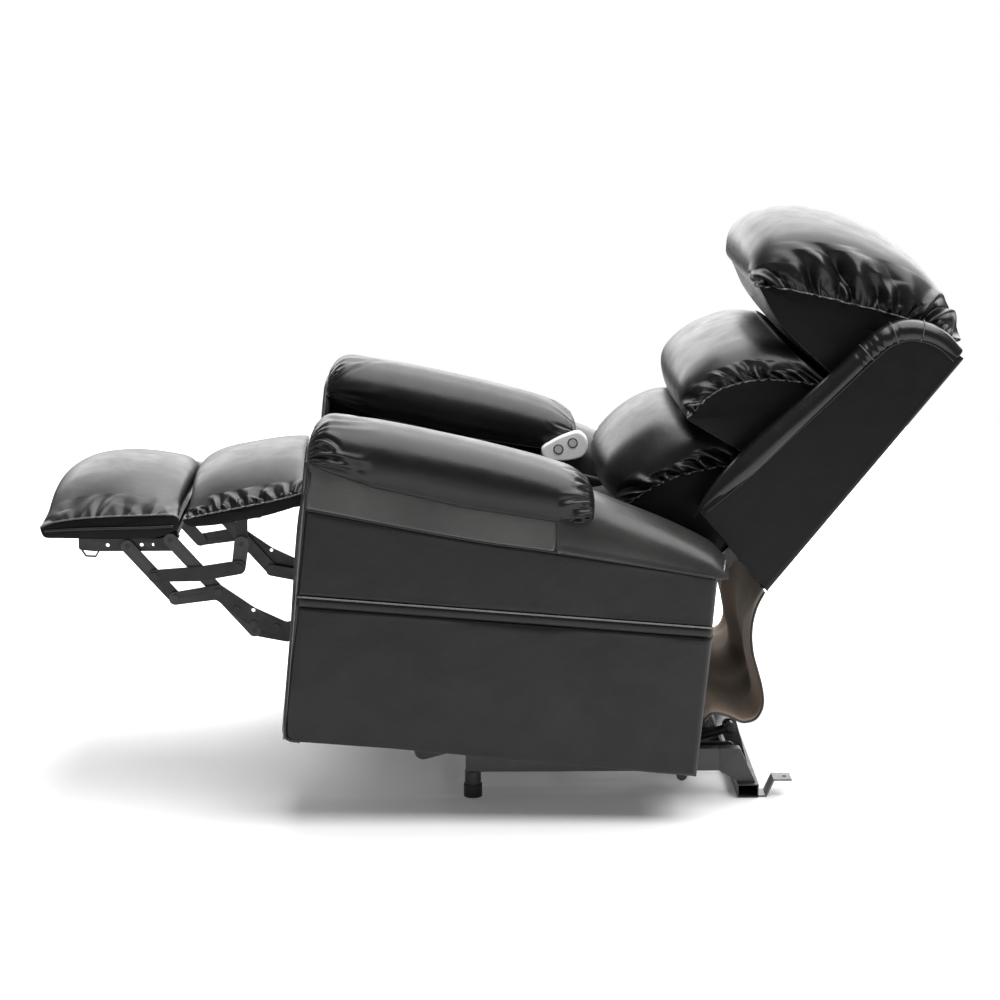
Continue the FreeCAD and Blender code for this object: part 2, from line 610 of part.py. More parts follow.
def arms():
    """Plywood arm boxes, their padded side covers and the stuffed arm rolls on top."""
    inner = [(-388, 176, 15), (-346, 588, 8), (-56, 529), (90, 507), (372, 461, 5), (340, 100, 5)]
    pair(plate("arm_inner_board", inner, "$seat_gap", "$board"), "arm_inner_boards")
    pair(plate("arm_outer_board", inner, "$arm_outside - $cover - $board", "$board - 1"), "arm_outer_boards")
    low = size("seat_gap") + size("board")
    high = size("arm_outside") - size("cover") - size("board")
    front = plate("arm_front_board", [(-384, 178, 3), (-369, 178, 3), (-328, 583, 3), (-343, 585, 3)],
                  low, high - low)
    rear = plate("arm_rear_board", [(325, 110, 3), (340, 110, 3), (367, 456, 3), (352, 458, 3)],
                 low, high - low)
    ends = doc.addObject("Part::Compound", "arm_end_boards")
    ends.Links = [front, mirrored(front, "arm_front_board_right"),
                  rear, mirrored(rear, "arm_rear_board_right")]
    keep(ends, "arm_end_boards")

    outline = [in_body(0, 0, 26), (-354, 595, 8), (-56, 537), (90, 515), (384, 467, 5),
               in_body(size("arm_length"), -7, 5)]
    return_strip = [(-401, 178), (-392, 178), (-347.5, 593), (-354, 594)]
    cover = plate("side_cover_piece", outline, "$arm_outside - $cover", "$cover",
                  extra=[(return_strip, 264, size("arm_outside") - size("cover"), [])])
    left_and_right(cover, "side_cover")

    roll = [(-351, 599, 5), (-362, 668, 30), (-356, 722, 34), (-322, 754, 40), (-97, 715, 150),
            (102, 665, 60), (156, 634, 18), (150, 605, 12), (104, 578, 4), (92, 519, 2), (-56, 541)]
    left_and_right(cushion("arm_roll_piece", roll, 264, 164, 12), "arm_roll")

    bolster = [(97, 519, 2), (109, 580, 3), (152, 598, 8), (163, 607, 10), (225, 580, 60), (308, 543, 60),
               (385, 497, 30), (413, 472, 12), (404, 453, 8), (386, 470, 3)]
    left_and_right(plate("arm_bolster_piece", bolster, 266, 162), "arm_bolster")


# ---------------------------------------------------------------- seat, backrest and their cushions

def seat_and_back():
    seat = [(-340, 530, 8), (-350, 648, 35), (-20, 602, 120), (54, 572, 35), (66, 497, 10)]
    keep(cushion("seat_pad", seat, "-1 * $seat_half", "2 * $seat_half", 18), "seat_cushion")

    panel = [on_back(6, 60, 3), on_back(540, 60, 3), on_back(540, 74, 3), on_back(6, 74, 3)]
    keep(plate("back_board", panel, -240, 480), "back_panel")
    shell = [on_back(0, 0, 5), on_back(549, 0, 8), on_back(552, 57, 10), on_back(4, 57, 5)]
    keep(plate("rear_shell", shell, -261, 522), "back_shell")
    wing = [on_back(0, 0, 5), on_back(549, 0, 8), on_back(558, 45, 20), on_back(556, 96, 30),
            on_back(518, 146, 30), on_back(434, 163, 60), on_back(153, 176, 150), on_back(42, 187, 11),
            on_back(28, 163, 12), on_back(16, 78, 60)]
    left_and_right(plate("back_wing_piece", wing, 262, "$back_half - $seat_gap"), "back_wing")

    y, z = RECLINE_PIVOT
    bracket = plate("back_bracket",
                    chain([RECLINE_PIVOT, (396, 424), on_back(48, 76)[:2], on_back(110, 76)[:2]], 12),
                    DRIVE_X, "$link_steel",
                    holes=[(y, z, 10 + size("running_gap"))],
                    studs=[on_back(70, 67)[:2] + (5, 240, DRIVE_X), on_back(100, 67)[:2] + (5, 240, DRIVE_X)])
    pair(bracket, "back_brackets")
    bar = rod_along_x("recline_bar", y, z, 10, -DRIVE_X - 4, DRIVE_X + 4)
    ends = rod_along_x("recline_pins", y, z, 8, -SIDE_PLATE_X - 4, SIDE_PLATE_X + 4)
    crank = plate("recline_crank", chain([RECLINE_PIVOT, RECLINE_CRANK], 11), -52 + 4, 5,
                  studs=[RECLINE_CRANK + ("$rivet", -69, -48)])
    keep(fuse("recline_bar_and_crank", [bar, ends, crank]), "recline_tube")

    lower = [on_back(-28, 90, 15), on_back(-50, 330, 40), on_back(-32, 380, 30), on_back(60, 385, 60),
             on_back(150, 345, 40), on_back(168, 302, 25), on_back(166, 90, 15)]
    keep(cushion("lower_pillow", lower, "-1 * $lumbar_half", "2 * $lumbar_half", 12), "pillow_lower")
    middle = [on_back(178, 90, 15), on_back(178, 308, 12), on_back(188, 368, 25), on_back(232, 378, 40),
              on_back(340, 338, 40), on_back(376, 285, 30), on_back(372, 90, 15)]
    keep(cushion("middle_pillow", middle, "-1 * $pillow_half", "2 * $pillow_half", 10), "pillow_middle")
    top = [on_back(392, 92, 8), on_back(402, 250, 60), on_back(428, 366, 18), on_back(458, 426, 28),
           on_back(530, 426, 60), on_back(590, 362, 60), on_back(636, 250, 60), on_back(642, 110, 45),
           on_back(612, 22, 25), on_back(567, 14, 15), on_back(566, 92, 3)]
    keep(cushion("top_pillow", top, "-1 * $pillow_half", "2 * $pillow_half", 12), "pillow_top")

    flap = [(478, 400), (468, 365), (467, 327), (478, 279), (491, 231), (488, 190), (470, 167), (439, 161),
            (411, 177), (389, 183), (375, 173)]
    half_cloth = size("flap_cloth") / 2
    keep(plate("flap_sheet", chain(flap, half_cloth), "-1 * $flap_half", "2 * $flap_half"), "rear_flap")


# ---------------------------------------------------------------- legrest

def legrest():
    """Parallel links on each side carry the footboard and the chaise pad down and in as they close."""
    half = size("link_half")
    outer = plate("outer_link", chain([ELBOW, OUTER_PIVOT, FOOT_PIVOT_FRONT], half), ROCKER_X, "$link_steel",
                  holes=[OUTER_PIVOT + (RUNNING,), FOOT_PIVOT_FRONT + (RUNNING,)],
                  studs=[ELBOW + ("$rivet", ROCKER_X + 4, DRIVE_X + 4.2),
                         ELBOW + (RIVET_HEAD, DRIVE_X + 4.2, DRIVE_X + 6.4)])
    pair(outer, "outer_links")

    drive = plate("drive_link",
                  chain([ELBOW, DRIVE_PIVOT, (-472, 354), (-398, 320), (-362, 352), TORQUE_PIVOT],
                        [12, 14, 17, 16, 15, 14]),
                  DRIVE_X, "$link_steel",
                  holes=[ELBOW + (RUNNING,), TORQUE_PIVOT + ("$torque_radius + $running_gap",),
                         (-466, 364, 3.5)],
                  studs=[DRIVE_PIVOT + ("$rivet", ROCKER_X, DRIVE_X),
                         DRIVE_PIVOT + (RIVET_HEAD, DRIVE_X + 4, DRIVE_X + 6),
                         (-497, 366, 6, DRIVE_X + 4, DRIVE_X + 5.5), (-466, 338, 7, DRIVE_X + 4, DRIVE_X + 6),
                         (-423, 331, 7, DRIVE_X + 4, DRIVE_X + 6)])
    pair(drive, "drive_links")

    rocker = plate("rocker_link", chain([FOOT_PIVOT_REAR, DRIVE_PIVOT, CONTROL_PIN], half),
                   ROCKER_X, "$link_steel",
                   holes=[FOOT_PIVOT_REAR + (RUNNING,), DRIVE_PIVOT + (RUNNING,), CONTROL_PIN + (RUNNING,)])
    pair(rocker, "rocker_links")

    control = plate("control_link",
                    chain([CONTROL_PIN, (-405, 312), (-345, 322), CONTROL_PIVOT], [12, 12, 12, 11]),
                    BRACKET_X, "$link_steel", holes=[CONTROL_PIVOT + (RUNNING,)],
                    studs=[CONTROL_PIN + ("$rivet", BRACKET_X + 4, ROCKER_X + 4)])
    pair(control, "control_links")

    middle = plate("middle_link", chain([OUTER_PIVOT, (-566, 434), MIDDLE_PIVOT], [11, 14, 13]),
                   DRIVE_X, "$link_steel",
                   studs=[OUTER_PIVOT + ("$rivet", ROCKER_X, DRIVE_X),
                          MIDDLE_PIVOT + ("$rivet", ROCKER_X, DRIVE_X),
                          OUTER_PIVOT + (RIVET_HEAD, DRIVE_X + 4, DRIVE_X + 6),
                          MIDDLE_PIVOT + (RIVET_HEAD, DRIVE_X + 4, DRIVE_X + 6)])
    pair(middle, "middle_links")
    upright = plate("chaise_link", chain([MIDDLE_PIVOT, CHAISE_PIN], [13, 14]), ROCKER_X, "$link_steel",
                    holes=[MIDDLE_PIVOT + (RUNNING,), CHAISE_PIN + (RUNNING,)])
    pair(upright, "chaise_links")

    flange = [(-789, 497.2), (-604, 497.2), (-604, 500), (-789, 500)]
    hook = chain([(-783, 478), (-776, 467), (-758, 466), (-751, 478)], 1.6)
    bracket = plate("footboard_bracket",
                    [(-789, 500), (-789, 479, 6), (-760, 476), (-608, 476, 8), (-604, 500)],
                    BRACKET_X, "$link_steel",
                    holes=[(-735, 487.5, 3.5), (-672, 488, 3.5), (-650, 488, 3)],
                    studs=[FOOT_PIVOT_FRONT + ("$rivet", BRACKET_X + 4, ROCKER_X + 4.2),
                           FOOT_PIVOT_REAR + ("$rivet", BRACKET_X + 4, ROCKER_X + 4.2)],
                    extra=[(flange, 205, BRACKET_X, []), (hook, BRACKET_X, BRACKET_X + 3, []),
                           (chain([FOOT_PIVOT_REAR, (-640, 489)], 9), BRACKET_X, BRACKET_X + 4, [])])
    pair(bracket, "footboard_brackets")
    board = block("footboard_blank", ("-1 * $panel_half", -846, 500), ("$panel_half", -606, 512))
    keep(board, "footboard_panel")
    pad = [(-852, 513, 6), (-858, 545, 15), (-826, 598, 28), (-700, 624, 90), (-606, 592, 20), (-599, 548, 8),
           (-603, 513, 5)]
    keep(cushion("foot_pad", pad, "-1 * $legrest_half", "2 * $legrest_half", 10), "footboard_pad")

    arm = plate("chaise_bracket", chain([CHAISE_PIN, (-484, 545), (-446, 557), CHAISE_HINGE], [12, 10, 9, 9]),
                BRACKET_X, "$link_steel",
                studs=[CHAISE_HINGE + ("$lift_pin", BRACKET_X + 4, SIDE_PLATE_X + 4),
                       CHAISE_PIN + ("$rivet", BRACKET_X + 4, ROCKER_X + 4),
                       (-477, 545.5, 3.2, 222, BRACKET_X), (-430, 555, 3.2, 222, BRACKET_X)])
    pair(arm, "chaise_brackets")
    slope = [(-520, 533, 2), (-370, 563, 2), (-370, 571, 2), (-520, 541, 2)]
    keep(plate("chaise_blank", slope, "-1 * $panel_half", "2 * $panel_half"), "chaise_board")
    quilt = [(-592, 546, 8), (-595, 592, 28), (-505, 638, 60), (-372, 651, 28),
             (-354, 625, 15), (-356, 591, 4), (-372, 588), (-486, 560)]
    keep(cushion("chaise_quilt", quilt, "-1 * $legrest_half", "2 * $legrest_half", 10), "chaise_pad")

    crank = plate("legrest_crank", chain([TORQUE_PIVOT, LEGREST_CRANK], 9.5), 43, 5,
                  studs=[LEGREST_CRANK + ("$rivet", 48, 69)])
    bar = rod_along_x("torque_bar", *TORQUE_PIVOT, "$torque_radius", -SIDE_PLATE_X - 4, SIDE_PLATE_X + 4)
    keep(fuse("torque_bar_and_crank", [bar, crank]), "torque_tube")


# ---------------------------------------------------------------- handset

def handset():
    """A slim remote that stands on edge between the right arm and the seat, its face to the sitter."""
    outline = [(88, 548, 8), (80, 575, 10), (163, 611, 12), (184, 592, 12), (182, 560, 10)]
    face = -241.0
    depth = 22.5
    case = plate("handset_case", outline, face - depth, depth)
    wells = []
    for label, spot in (("raise_button", (124, 574)), ("lower_button", (153, 587))):
        well = rod_along_x(label + "_well", *spot, "$button_radius + 2 * $running_gap", face - 5, face + 1)
        wells.append(well)
        keep(rod_along_x(label + "_cap", *spot, "$button_radius", face - 3, face + 1.5), label)
    keep(cut("handset_body", case, fuse("handset_wells", wells)), "handset")


base_frame()
lift_linkage()
actuators()
seat_frame()
arms()
seat_and_back()
legrest()
handset()

# ---------------------------------------------------------------- checks and export

doc.recompute()
for thing in doc.Objects:
    bad = [word for word in thing.State if word in ("Invalid", "Error")]
    if bad:
        raise RuntimeError(f"{thing.Name} is {bad}")
box = FreeCAD.BoundBox()
for thing in EXPORTED:
    shape = thing.Shape
    if shape.isNull() or not shape.isValid():
        raise RuntimeError(f"{thing.Label} has no valid shape")
    box.add(shape.BoundBox)
    shape.exportStep(os.path.join("parts", thing.Label + ".step"))
corners = (box.XMin, box.XMax, box.YMin, box.YMax, box.ZMin, box.ZMax)
print(len(EXPORTED), "nodes, box", [round(value, 1) for value in corners])
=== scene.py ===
import json
import math
import random

import bpy
import bmesh
import numpy as np
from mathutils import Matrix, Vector, noise


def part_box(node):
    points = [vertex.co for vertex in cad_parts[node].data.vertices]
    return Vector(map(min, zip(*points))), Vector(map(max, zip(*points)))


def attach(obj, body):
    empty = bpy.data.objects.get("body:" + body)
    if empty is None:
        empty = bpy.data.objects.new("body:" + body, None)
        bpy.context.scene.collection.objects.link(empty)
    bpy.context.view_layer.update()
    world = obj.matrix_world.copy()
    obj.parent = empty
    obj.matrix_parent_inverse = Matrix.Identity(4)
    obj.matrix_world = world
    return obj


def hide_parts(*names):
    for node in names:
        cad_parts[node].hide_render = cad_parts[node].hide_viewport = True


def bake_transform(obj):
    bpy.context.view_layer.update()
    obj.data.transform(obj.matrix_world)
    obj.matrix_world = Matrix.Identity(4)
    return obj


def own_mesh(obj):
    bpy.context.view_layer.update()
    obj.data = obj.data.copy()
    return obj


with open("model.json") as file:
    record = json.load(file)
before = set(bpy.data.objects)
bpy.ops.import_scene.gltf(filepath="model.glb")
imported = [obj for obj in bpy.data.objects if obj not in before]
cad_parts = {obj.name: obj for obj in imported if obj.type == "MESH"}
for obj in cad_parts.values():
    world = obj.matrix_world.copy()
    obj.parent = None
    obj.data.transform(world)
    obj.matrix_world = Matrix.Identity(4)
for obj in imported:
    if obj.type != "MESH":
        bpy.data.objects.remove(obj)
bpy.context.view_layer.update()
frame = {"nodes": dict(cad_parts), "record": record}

# Black leather lift recliner, reclined with its legrest out. Metres, +Z up, the sitter faces -Y.
NODES = frame["nodes"]
SCENE = bpy.context.scene


# ---------------------------------------------------------------- the backrest's and the body's own axes

BACK_SLOPE = math.radians(51.2)
BACK_FOOT = (0.482, 0.414)
BODY_TILT = math.radians(5)
BODY_FOOT = (-0.402, 0.164)


def on_back(along, forward):
    """Y and Z of a point given along the backrest from its foot, and forward of its rear face."""
    return (BACK_FOOT[0] + along * math.cos(BACK_SLOPE) - forward * math.sin(BACK_SLOPE),
            BACK_FOOT[1] + along * math.sin(BACK_SLOPE) + forward * math.cos(BACK_SLOPE))


def in_body(depth, height):
    """Y and Z of a point given behind and above the lower front corner of an arm box."""
    return (BODY_FOOT[0] + depth * math.cos(BODY_TILT) + height * math.sin(BODY_TILT),
            BODY_FOOT[1] - depth * math.sin(BODY_TILT) + height * math.cos(BODY_TILT))


# ---------------------------------------------------------------- curves

def spline(points, count, closed=False):
    """Points spread evenly along a smooth curve through the given ones."""
    pts = np.array(points, float)
    if closed:
        pts = np.vstack([pts[-1:], pts, pts[:2]])
    else:
        pts = np.vstack([2 * pts[0] - pts[1], pts, 2 * pts[-1] - pts[-2]])
    fine = []
    for a, b, c, d in zip(pts[:-3], pts[1:-2], pts[2:-1], pts[3:]):
        knots = [0.0]
        for p, q in ((a, b), (b, c), (c, d)):
            knots.append(knots[-1] + max(np.linalg.norm(q - p), 1e-6) ** 0.5)
        t = np.linspace(knots[1], knots[2], 25)[:-1, None]
        k0, k1, k2, k3 = knots
        ab = (k1 - t) / (k1 - k0) * a + (t - k0) / (k1 - k0) * b
        bc = (k2 - t) / (k2 - k1) * b + (t - k1) / (k2 - k1) * c
        cd = (k3 - t) / (k3 - k2) * c + (t - k2) / (k3 - k2) * d
        low = (k2 - t) / (k2 - k0) * ab + (t - k0) / (k2 - k0) * bc
        high = (k3 - t) / (k3 - k1) * bc + (t - k1) / (k3 - k1) * cd
        fine.append((k2 - t) / (k2 - k1) * low + (t - k1) / (k2 - k1) * high)
    line = np.vstack(fine + [pts[-2][None, :]])
    return spread(line, count, closed)


def spread(line, count, closed=False):
    """Points spread evenly along a polyline."""
    line = np.array(line, float)
    along = travelled(line)
    want = np.linspace(0, along[-1], count + 1)[:-1] if closed else np.linspace(0, along[-1], count)
    return np.stack([np.interp(want, along, line[:, k]) for k in range(line.shape[1])], axis=1)


def smooth(low, high, value):
    """0 below low, 1 above high, and a soft step between."""
    t = np.clip((np.asarray(value, float) - low) / (high - low), 0, 1)
    return t * t * (3 - 2 * t)


def squarish(value, power):
    """A sine or cosine pushed outward, so that a circle of them becomes a rounded square."""
    return math.copysign(abs(value) ** (2 / power), value)


def rounded(share):
    """Rises from 0 to 1 along a quarter circle as share goes from 0 to 1."""
    return math.sqrt(max(0, 1 - (1 - min(share, 1)) ** 2))


def directions(line):
    """Unit steps along a line."""
    way = np.gradient(line, axis=0)
    return way / np.linalg.norm(way, axis=1, keepdims=True)


def travelled(points):
    """How far along a line each of its points lies."""
    return np.concatenate([[0], np.cumsum(np.linalg.norm(np.diff(points, axis=0), axis=1))])


# ---------------------------------------------------------------- meshes

def mesh_object(name, points, faces, shade=True):
    """A new mesh from points and faces, shaded smooth unless shade is false."""
    mesh = bpy.data.meshes.new(name)
    mesh.from_pydata([tuple(map(float, p)) for p in points], [], [tuple(map(int, f)) for f in faces])
    mesh.validate()
    mesh.update()
    obj = bpy.data.objects.new(name, mesh)
    SCENE.collection.objects.link(obj)
    for polygon in mesh.polygons:
        polygon.use_smooth = shade
    return obj


def coordinates(obj):
    """A piece's points as an array of N by 3."""
    flat = np.empty(len(obj.data.vertices) * 3, np.float64)
    obj.data.vertices.foreach_get("co", flat)
    return flat.reshape(-1, 3)


def set_coordinates(obj, points):
    obj.data.vertices.foreach_set("co", np.asarray(points, np.float64).ravel())
    obj.data.update()


def normals(obj):
    flat = np.empty(len(obj.data.vertices) * 3, np.float32)
    obj.data.vertex_normals.foreach_get("vector", flat)
    return flat.reshape(-1, 3).astype(float)


def loft(name, rings, caps, bulge):
    """A closed skin over rings of equal count, with each end closed by shrinking rings that bulge out."""
    rings = [np.array(r, float) for r in rings]
    first = []
    for step in range(1, caps[0] + 1):
        first.append(cap_ring(rings[0], rings[1], step / (caps[0] + 1), bulge[0]))
    last = []
    for step in range(1, caps[1] + 1):
        last.append(cap_ring(rings[-1], rings[-2], step / (caps[1] + 1), bulge[1]))
    obj = skin(name, np.array(first[::-1] + rings + last))
    obj["ring"] = len(rings[0])
    obj["first"] = caps[0]
    obj["stations"] = len(rings)
    return obj


def skin(name, stack):
    """A closed mesh over a stack of rings, with a middle point at each end."""
    rows, count, _ = stack.shape
    faces = []
    for j in range(rows - 1):
        for i in range(count):
            k = (i + 1) % count
            faces.append((j * count + i, j * count + k, (j + 1) * count + k, (j + 1) * count + i))
    total = rows * count
    base = total - count
    for i in range(count):
        k = (i + 1) % count
        faces.append((total, k, i))
        faces.append((total + 1, base + i, base + k))
    points = np.vstack([stack.reshape(-1, 3), stack[0].mean(0), stack[-1].mean(0)])
    return mesh_object(name, points, faces)


def cap_ring(edge, inner, share, bulge):
    """A ring inside an end ring, shrunk towards its middle and pushed out along the end's normal."""
    middle = edge.mean(0)
    out = middle - inner.mean(0)
    length = np.linalg.norm(out)
    out = out / length if length > 1e-9 else out
    keep = 1 - share
    return middle + (edge - middle) * keep + out * bulge * (1 - keep ** 2)


def tube(name, path, radius, closed=False):
    """A round tube along a polyline: a ring if closed, or else with closed ends."""
    sides = 8
    path = np.array(path, float)
    count = len(path)
    rings = []
    up = np.array([0.31, 0.2, 0.93])
    for i in range(count):
        before = path[i - 1] if (i > 0 or closed) else path[i]
        after = path[(i + 1) % count] if (i < count - 1 or closed) else path[i]
        way = after - before
        way = way / max(np.linalg.norm(way), 1e-9)
        side = np.cross(way, up)
        side = side / max(np.linalg.norm(side), 1e-9)
        lift = np.cross(side, way)
        angle = np.linspace(0, 2 * math.pi, sides, endpoint=False)[:, None]
        rings.append(path[i] + radius * (np.cos(angle) * side + np.sin(angle) * lift))
    if not closed:
        return outward(loft(name, rings, caps=(1, 1), bulge=(0.0, 0.0)))
    faces = []
    for j in range(count):
        for i in range(sides):
            k = (i + 1) % sides
            n = (j + 1) % count
            faces.append((j * sides + i, j * sides + k, n * sides + k, n * sides + i))
    return outward(mesh_object(name, np.vstack(rings), faces))


def flipped(obj, name):
    """The mirror image of a piece on the sitter's right."""
    points = coordinates(obj) * np.array([-1, 1, 1])
    faces = [tuple(reversed(p.vertices)) for p in obj.data.polygons]
    twin = mesh_object(name, points, faces)
    for material in obj.data.materials:
        twin.data.materials.append(material)
    twin.data.polygons.foreach_set("material_index", [p.material_index for p in obj.data.polygons])
    return twin


def outward(obj):
    """Turns the faces outward."""
    work = bmesh.new()
    work.from_mesh(obj.data)
    bmesh.ops.recalc_face_normals(work, faces=work.faces)
    work.to_mesh(obj.data)
    work.free()
    obj.data.update()
    return obj


def doubled(grid, axis, closed):
    """Adds a point midway between each two along an axis, on the smooth surface through them."""
    grid = np.moveaxis(grid, axis, 0)
    if closed:
        before, after, beyond = np.roll(grid, 1, 0), np.roll(grid, -1, 0), np.roll(grid, -2, 0)
        made = np.empty((2 * len(grid),) + grid.shape[1:])
        made[0::2] = grid
        made[1::2] = (9 * (grid + after) - before - beyond) / 16
    else:
        padded = np.concatenate([2 * grid[:1] - grid[1:2], grid, 2 * grid[-1:] - grid[-2:-1]])
        made = np.empty((2 * len(grid) - 1,) + grid.shape[1:])
        made[0::2] = grid
        made[1::2] = (9 * (padded[1:-2] + padded[2:-1]) - padded[:-3] - padded[3:]) / 16
    return np.moveaxis(made, 0, axis)


def refine(obj, levels=1):
    """Subdivides a lofted piece, both round its rings and from ring to ring."""
    for _ in range(levels):
        grid = coordinates(obj)[:-2].reshape(-1, obj["ring"], 3)
        grid = doubled(doubled(grid, 1, True), 0, False)
        fine = skin(obj.name + "_fine", grid)
        obj.data = fine.data
        bpy.data.objects.remove(fine)
        obj["ring"] = 2 * obj["ring"]
        obj["first"] = 2 * obj["first"]
        obj["stations"] = 2 * obj["stations"] - 1
        if "top" in obj:
            obj["top"] = 2 * obj["top"] - 1
    return outward(obj)


# ---------------------------------------------------------------- leather that swells and gathers

SWELL_FRAMES = 14
SWELL_CLOTH = {"use_pressure": True, "quality": 4, "mass": 0.3, "tension_stiffness": 12,
               "compression_stiffness": 12, "shear_stiffness": 5, "bending_stiffness": 2.0, "air_damping": 4}


def swell(obj, pressure, cap, held=()):
    """Cloth pressure lets a stuffed, lofted piece swell by up to cap. held lists the vertices of sewn
    seams, which stay. The movement is evened out, so the leather stays smooth between its seams."""
    rest = coordinates(obj)
    cloth = obj.modifiers.new("swell", "CLOTH")
    settings = cloth.settings
    for key, value in SWELL_CLOTH.items():
        setattr(settings, key, value)
    settings.uniform_pressure_force = pressure
    settings.effector_weights.gravity = 0
    cloth.collision_settings.use_self_collision = False
    if held:
        group = obj.vertex_groups.new(name="seams")
        group.add([int(v) for v in held], 1.0, "REPLACE")
        settings.vertex_group_mass = "seams"
    cloth.point_cache.frame_start = 1
    cloth.point_cache.frame_end = SWELL_FRAMES
    for number in range(1, SWELL_FRAMES + 1):
        SCENE.frame_set(number)
    graph = bpy.context.evaluated_depsgraph_get()
    moved = np.empty(len(rest) * 3, np.float64)
    obj.evaluated_get(graph).data.vertices.foreach_get("co", moved)
    obj.modifiers.clear()
    obj.vertex_groups.clear()
    SCENE.frame_set(1)
    step = moved.reshape(-1, 3) - rest
    length = np.linalg.norm(step, axis=1, keepdims=True)
    step = step * np.minimum(1, cap / np.maximum(length, 1e-9))
    grid = step[:-2].reshape(-1, obj["ring"], 3)
    for _ in range(6):
        across = (np.roll(grid, 1, 1) + np.roll(grid, -1, 1)) / 2
        padded = np.concatenate([grid[:1], grid, grid[-1:]])
        grid = 0.4 * grid + 0.3 * across + 0.15 * (padded[:-2] + padded[2:])
    step[:-2] = grid.reshape(-1, 3)
    step[-2] = grid[0].mean(0)
    step[-1] = grid[-1].mean(0)
    set_coordinates(obj, rest + step)


def pleats(seed, span, spacing, depth, reach):
    """Creases that run out from a seam of length span: where each starts, its depth, length and lean."""
    irregular = 0.35
    rng = random.Random(seed)
    creases = []
    at = spacing * rng.uniform(0.2, 0.8)
    while at < span:
        creases.append({
            "at": at,
            "depth": depth * rng.uniform(1 - irregular, 1 + irregular),
            "reach": reach * rng.uniform(1 - 1.5 * irregular, 1 + irregular),
            "lean": rng.uniform(-0.40, 0.40),
            "width": spacing * rng.uniform(0.20, 0.36),
            "bend": rng.uniform(-0.3, 0.3),
            "skew": rng.uniform(-0.5, 0.5),
        })
        at += spacing * rng.uniform(1 - irregular, 1 + irregular)
    return creases


def gathered(along, away, creases):
    """How far the leather is pushed out or drawn in at a place along a seam and away from it."""
    total = np.zeros_like(along)
    for crease in creases:
        part = np.clip(away / crease["reach"], 0, 1)
        centre = crease["at"] + crease["lean"] * away + crease["bend"] * away * part
        width = crease["width"] * (0.50 + 1.1 * part)
        off = (along - centre) / width
        fade = np.sin(np.clip(part * 1.05 + 0.12, 0, 1) * math.pi) ** 0.7 * (away >= 0)
        valley = np.exp(-np.abs(off) ** 1.5)
        left = np.exp(-(off + 1.7) ** 2 / 0.8) * (1 + crease["skew"])
        right = np.exp(-(off - 1.7) ** 2 / 0.8) * (1 - crease["skew"])
        total += crease["depth"] * fade * (0.62 * (left + right) - 0.9 * valley)
    return total


def undulate(points, scale, amount, seed):
    """Slow irregular waves, as leather shows over a soft fill."""
    shift = Vector((seed * 3.7, seed * 1.3, seed * 2.1))
    return np.array([noise.noise(Vector(p) * scale + shift) for p in points]) * amount


# ---------------------------------------------------------------- stuffed pieces made as lofts

CROWN_LIFT = 0.012
DROOP = 0.12


def crown(half, shoulder, sharp, tuck, middle_steps, end_steps):
    """Half-width positions and how full the section is there, from the middle to the sewn end."""
    rows = []
    flat = half - shoulder
    for step in range(middle_steps):
        share = step / middle_steps
        rows.append((flat * share, 1.0 - DROOP * share ** 2))
    for step in range(end_steps + 1):
        angle = step / end_steps * (math.pi / 2 + tuck)
        x = squarish(math.sin(angle), sharp)
        full = squarish(math.cos(angle), sharp)
        place = flat + shoulder * x
        rows.append((place, full * (1 - DROOP * (place / flat) ** 2)))
    least = rows[-1][1]
    return [(x, (full - least) / (1 - least)) for x, full in rows]


def pillow(name, top_middle, under_middle, top_end, under_end, half, shoulder, counts, bulge, sharp=2.4,
           tuck=0.25, steps=(6, 14)):
    """A stuffed pillow. Each outline is a list of Y-Z points: over the top from its front seam to its
    rear one, then underneath between the same two. The ends are sewn to a flat panel of the end's outline."""
    middle, end = (np.vstack([spline(top, counts[0])[:-1],
                              spline([top[-1], *under, top[0]], counts[1])[:-1]])
                   for top, under in ((top_middle, under_middle), (top_end, under_end)))
    rows = crown(half, shoulder, sharp, tuck, *steps)
    stations = [(-x, full) for x, full in rows[::-1]] + rows[1:]
    centre = middle.mean(0)
    rings = []
    for x, full in stations:
        section = end + (middle - end) * full
        swelling = 1 + CROWN_LIFT * (1 - (x / half) ** 2) * full
        section = centre + (section - centre) * swelling
        rings.append(np.column_stack([np.full(len(section), x), section]))
    obj = loft(name, rings, caps=(9, 9), bulge=(bulge, bulge))
    obj["top"] = counts[0]
    return outward(obj)


def sleeve(obj):
    """A lofted piece's points, then its rings and their normals without the end caps. Moving the rings
    moves the points."""
    points = coordinates(obj)
    ring = obj["ring"]
    part = slice(obj["first"] * ring, (obj["first"] + obj["stations"]) * ring)
    return points, points[part].reshape(-1, ring, 3), normals(obj)[part].reshape(-1, ring, 3)


def ring_index(obj, station, i):
    return (obj["first"] + station) * obj["ring"] + i % obj["ring"]


def seam_path(obj, end):
    """The sewn edge of a pillow's end, along its top from front to rear."""
    points = coordinates(obj)
    station = 0 if end < 0 else obj["stations"] - 1
    return np.array([points[ring_index(obj, station, i)] for i in range(obj["top"])])


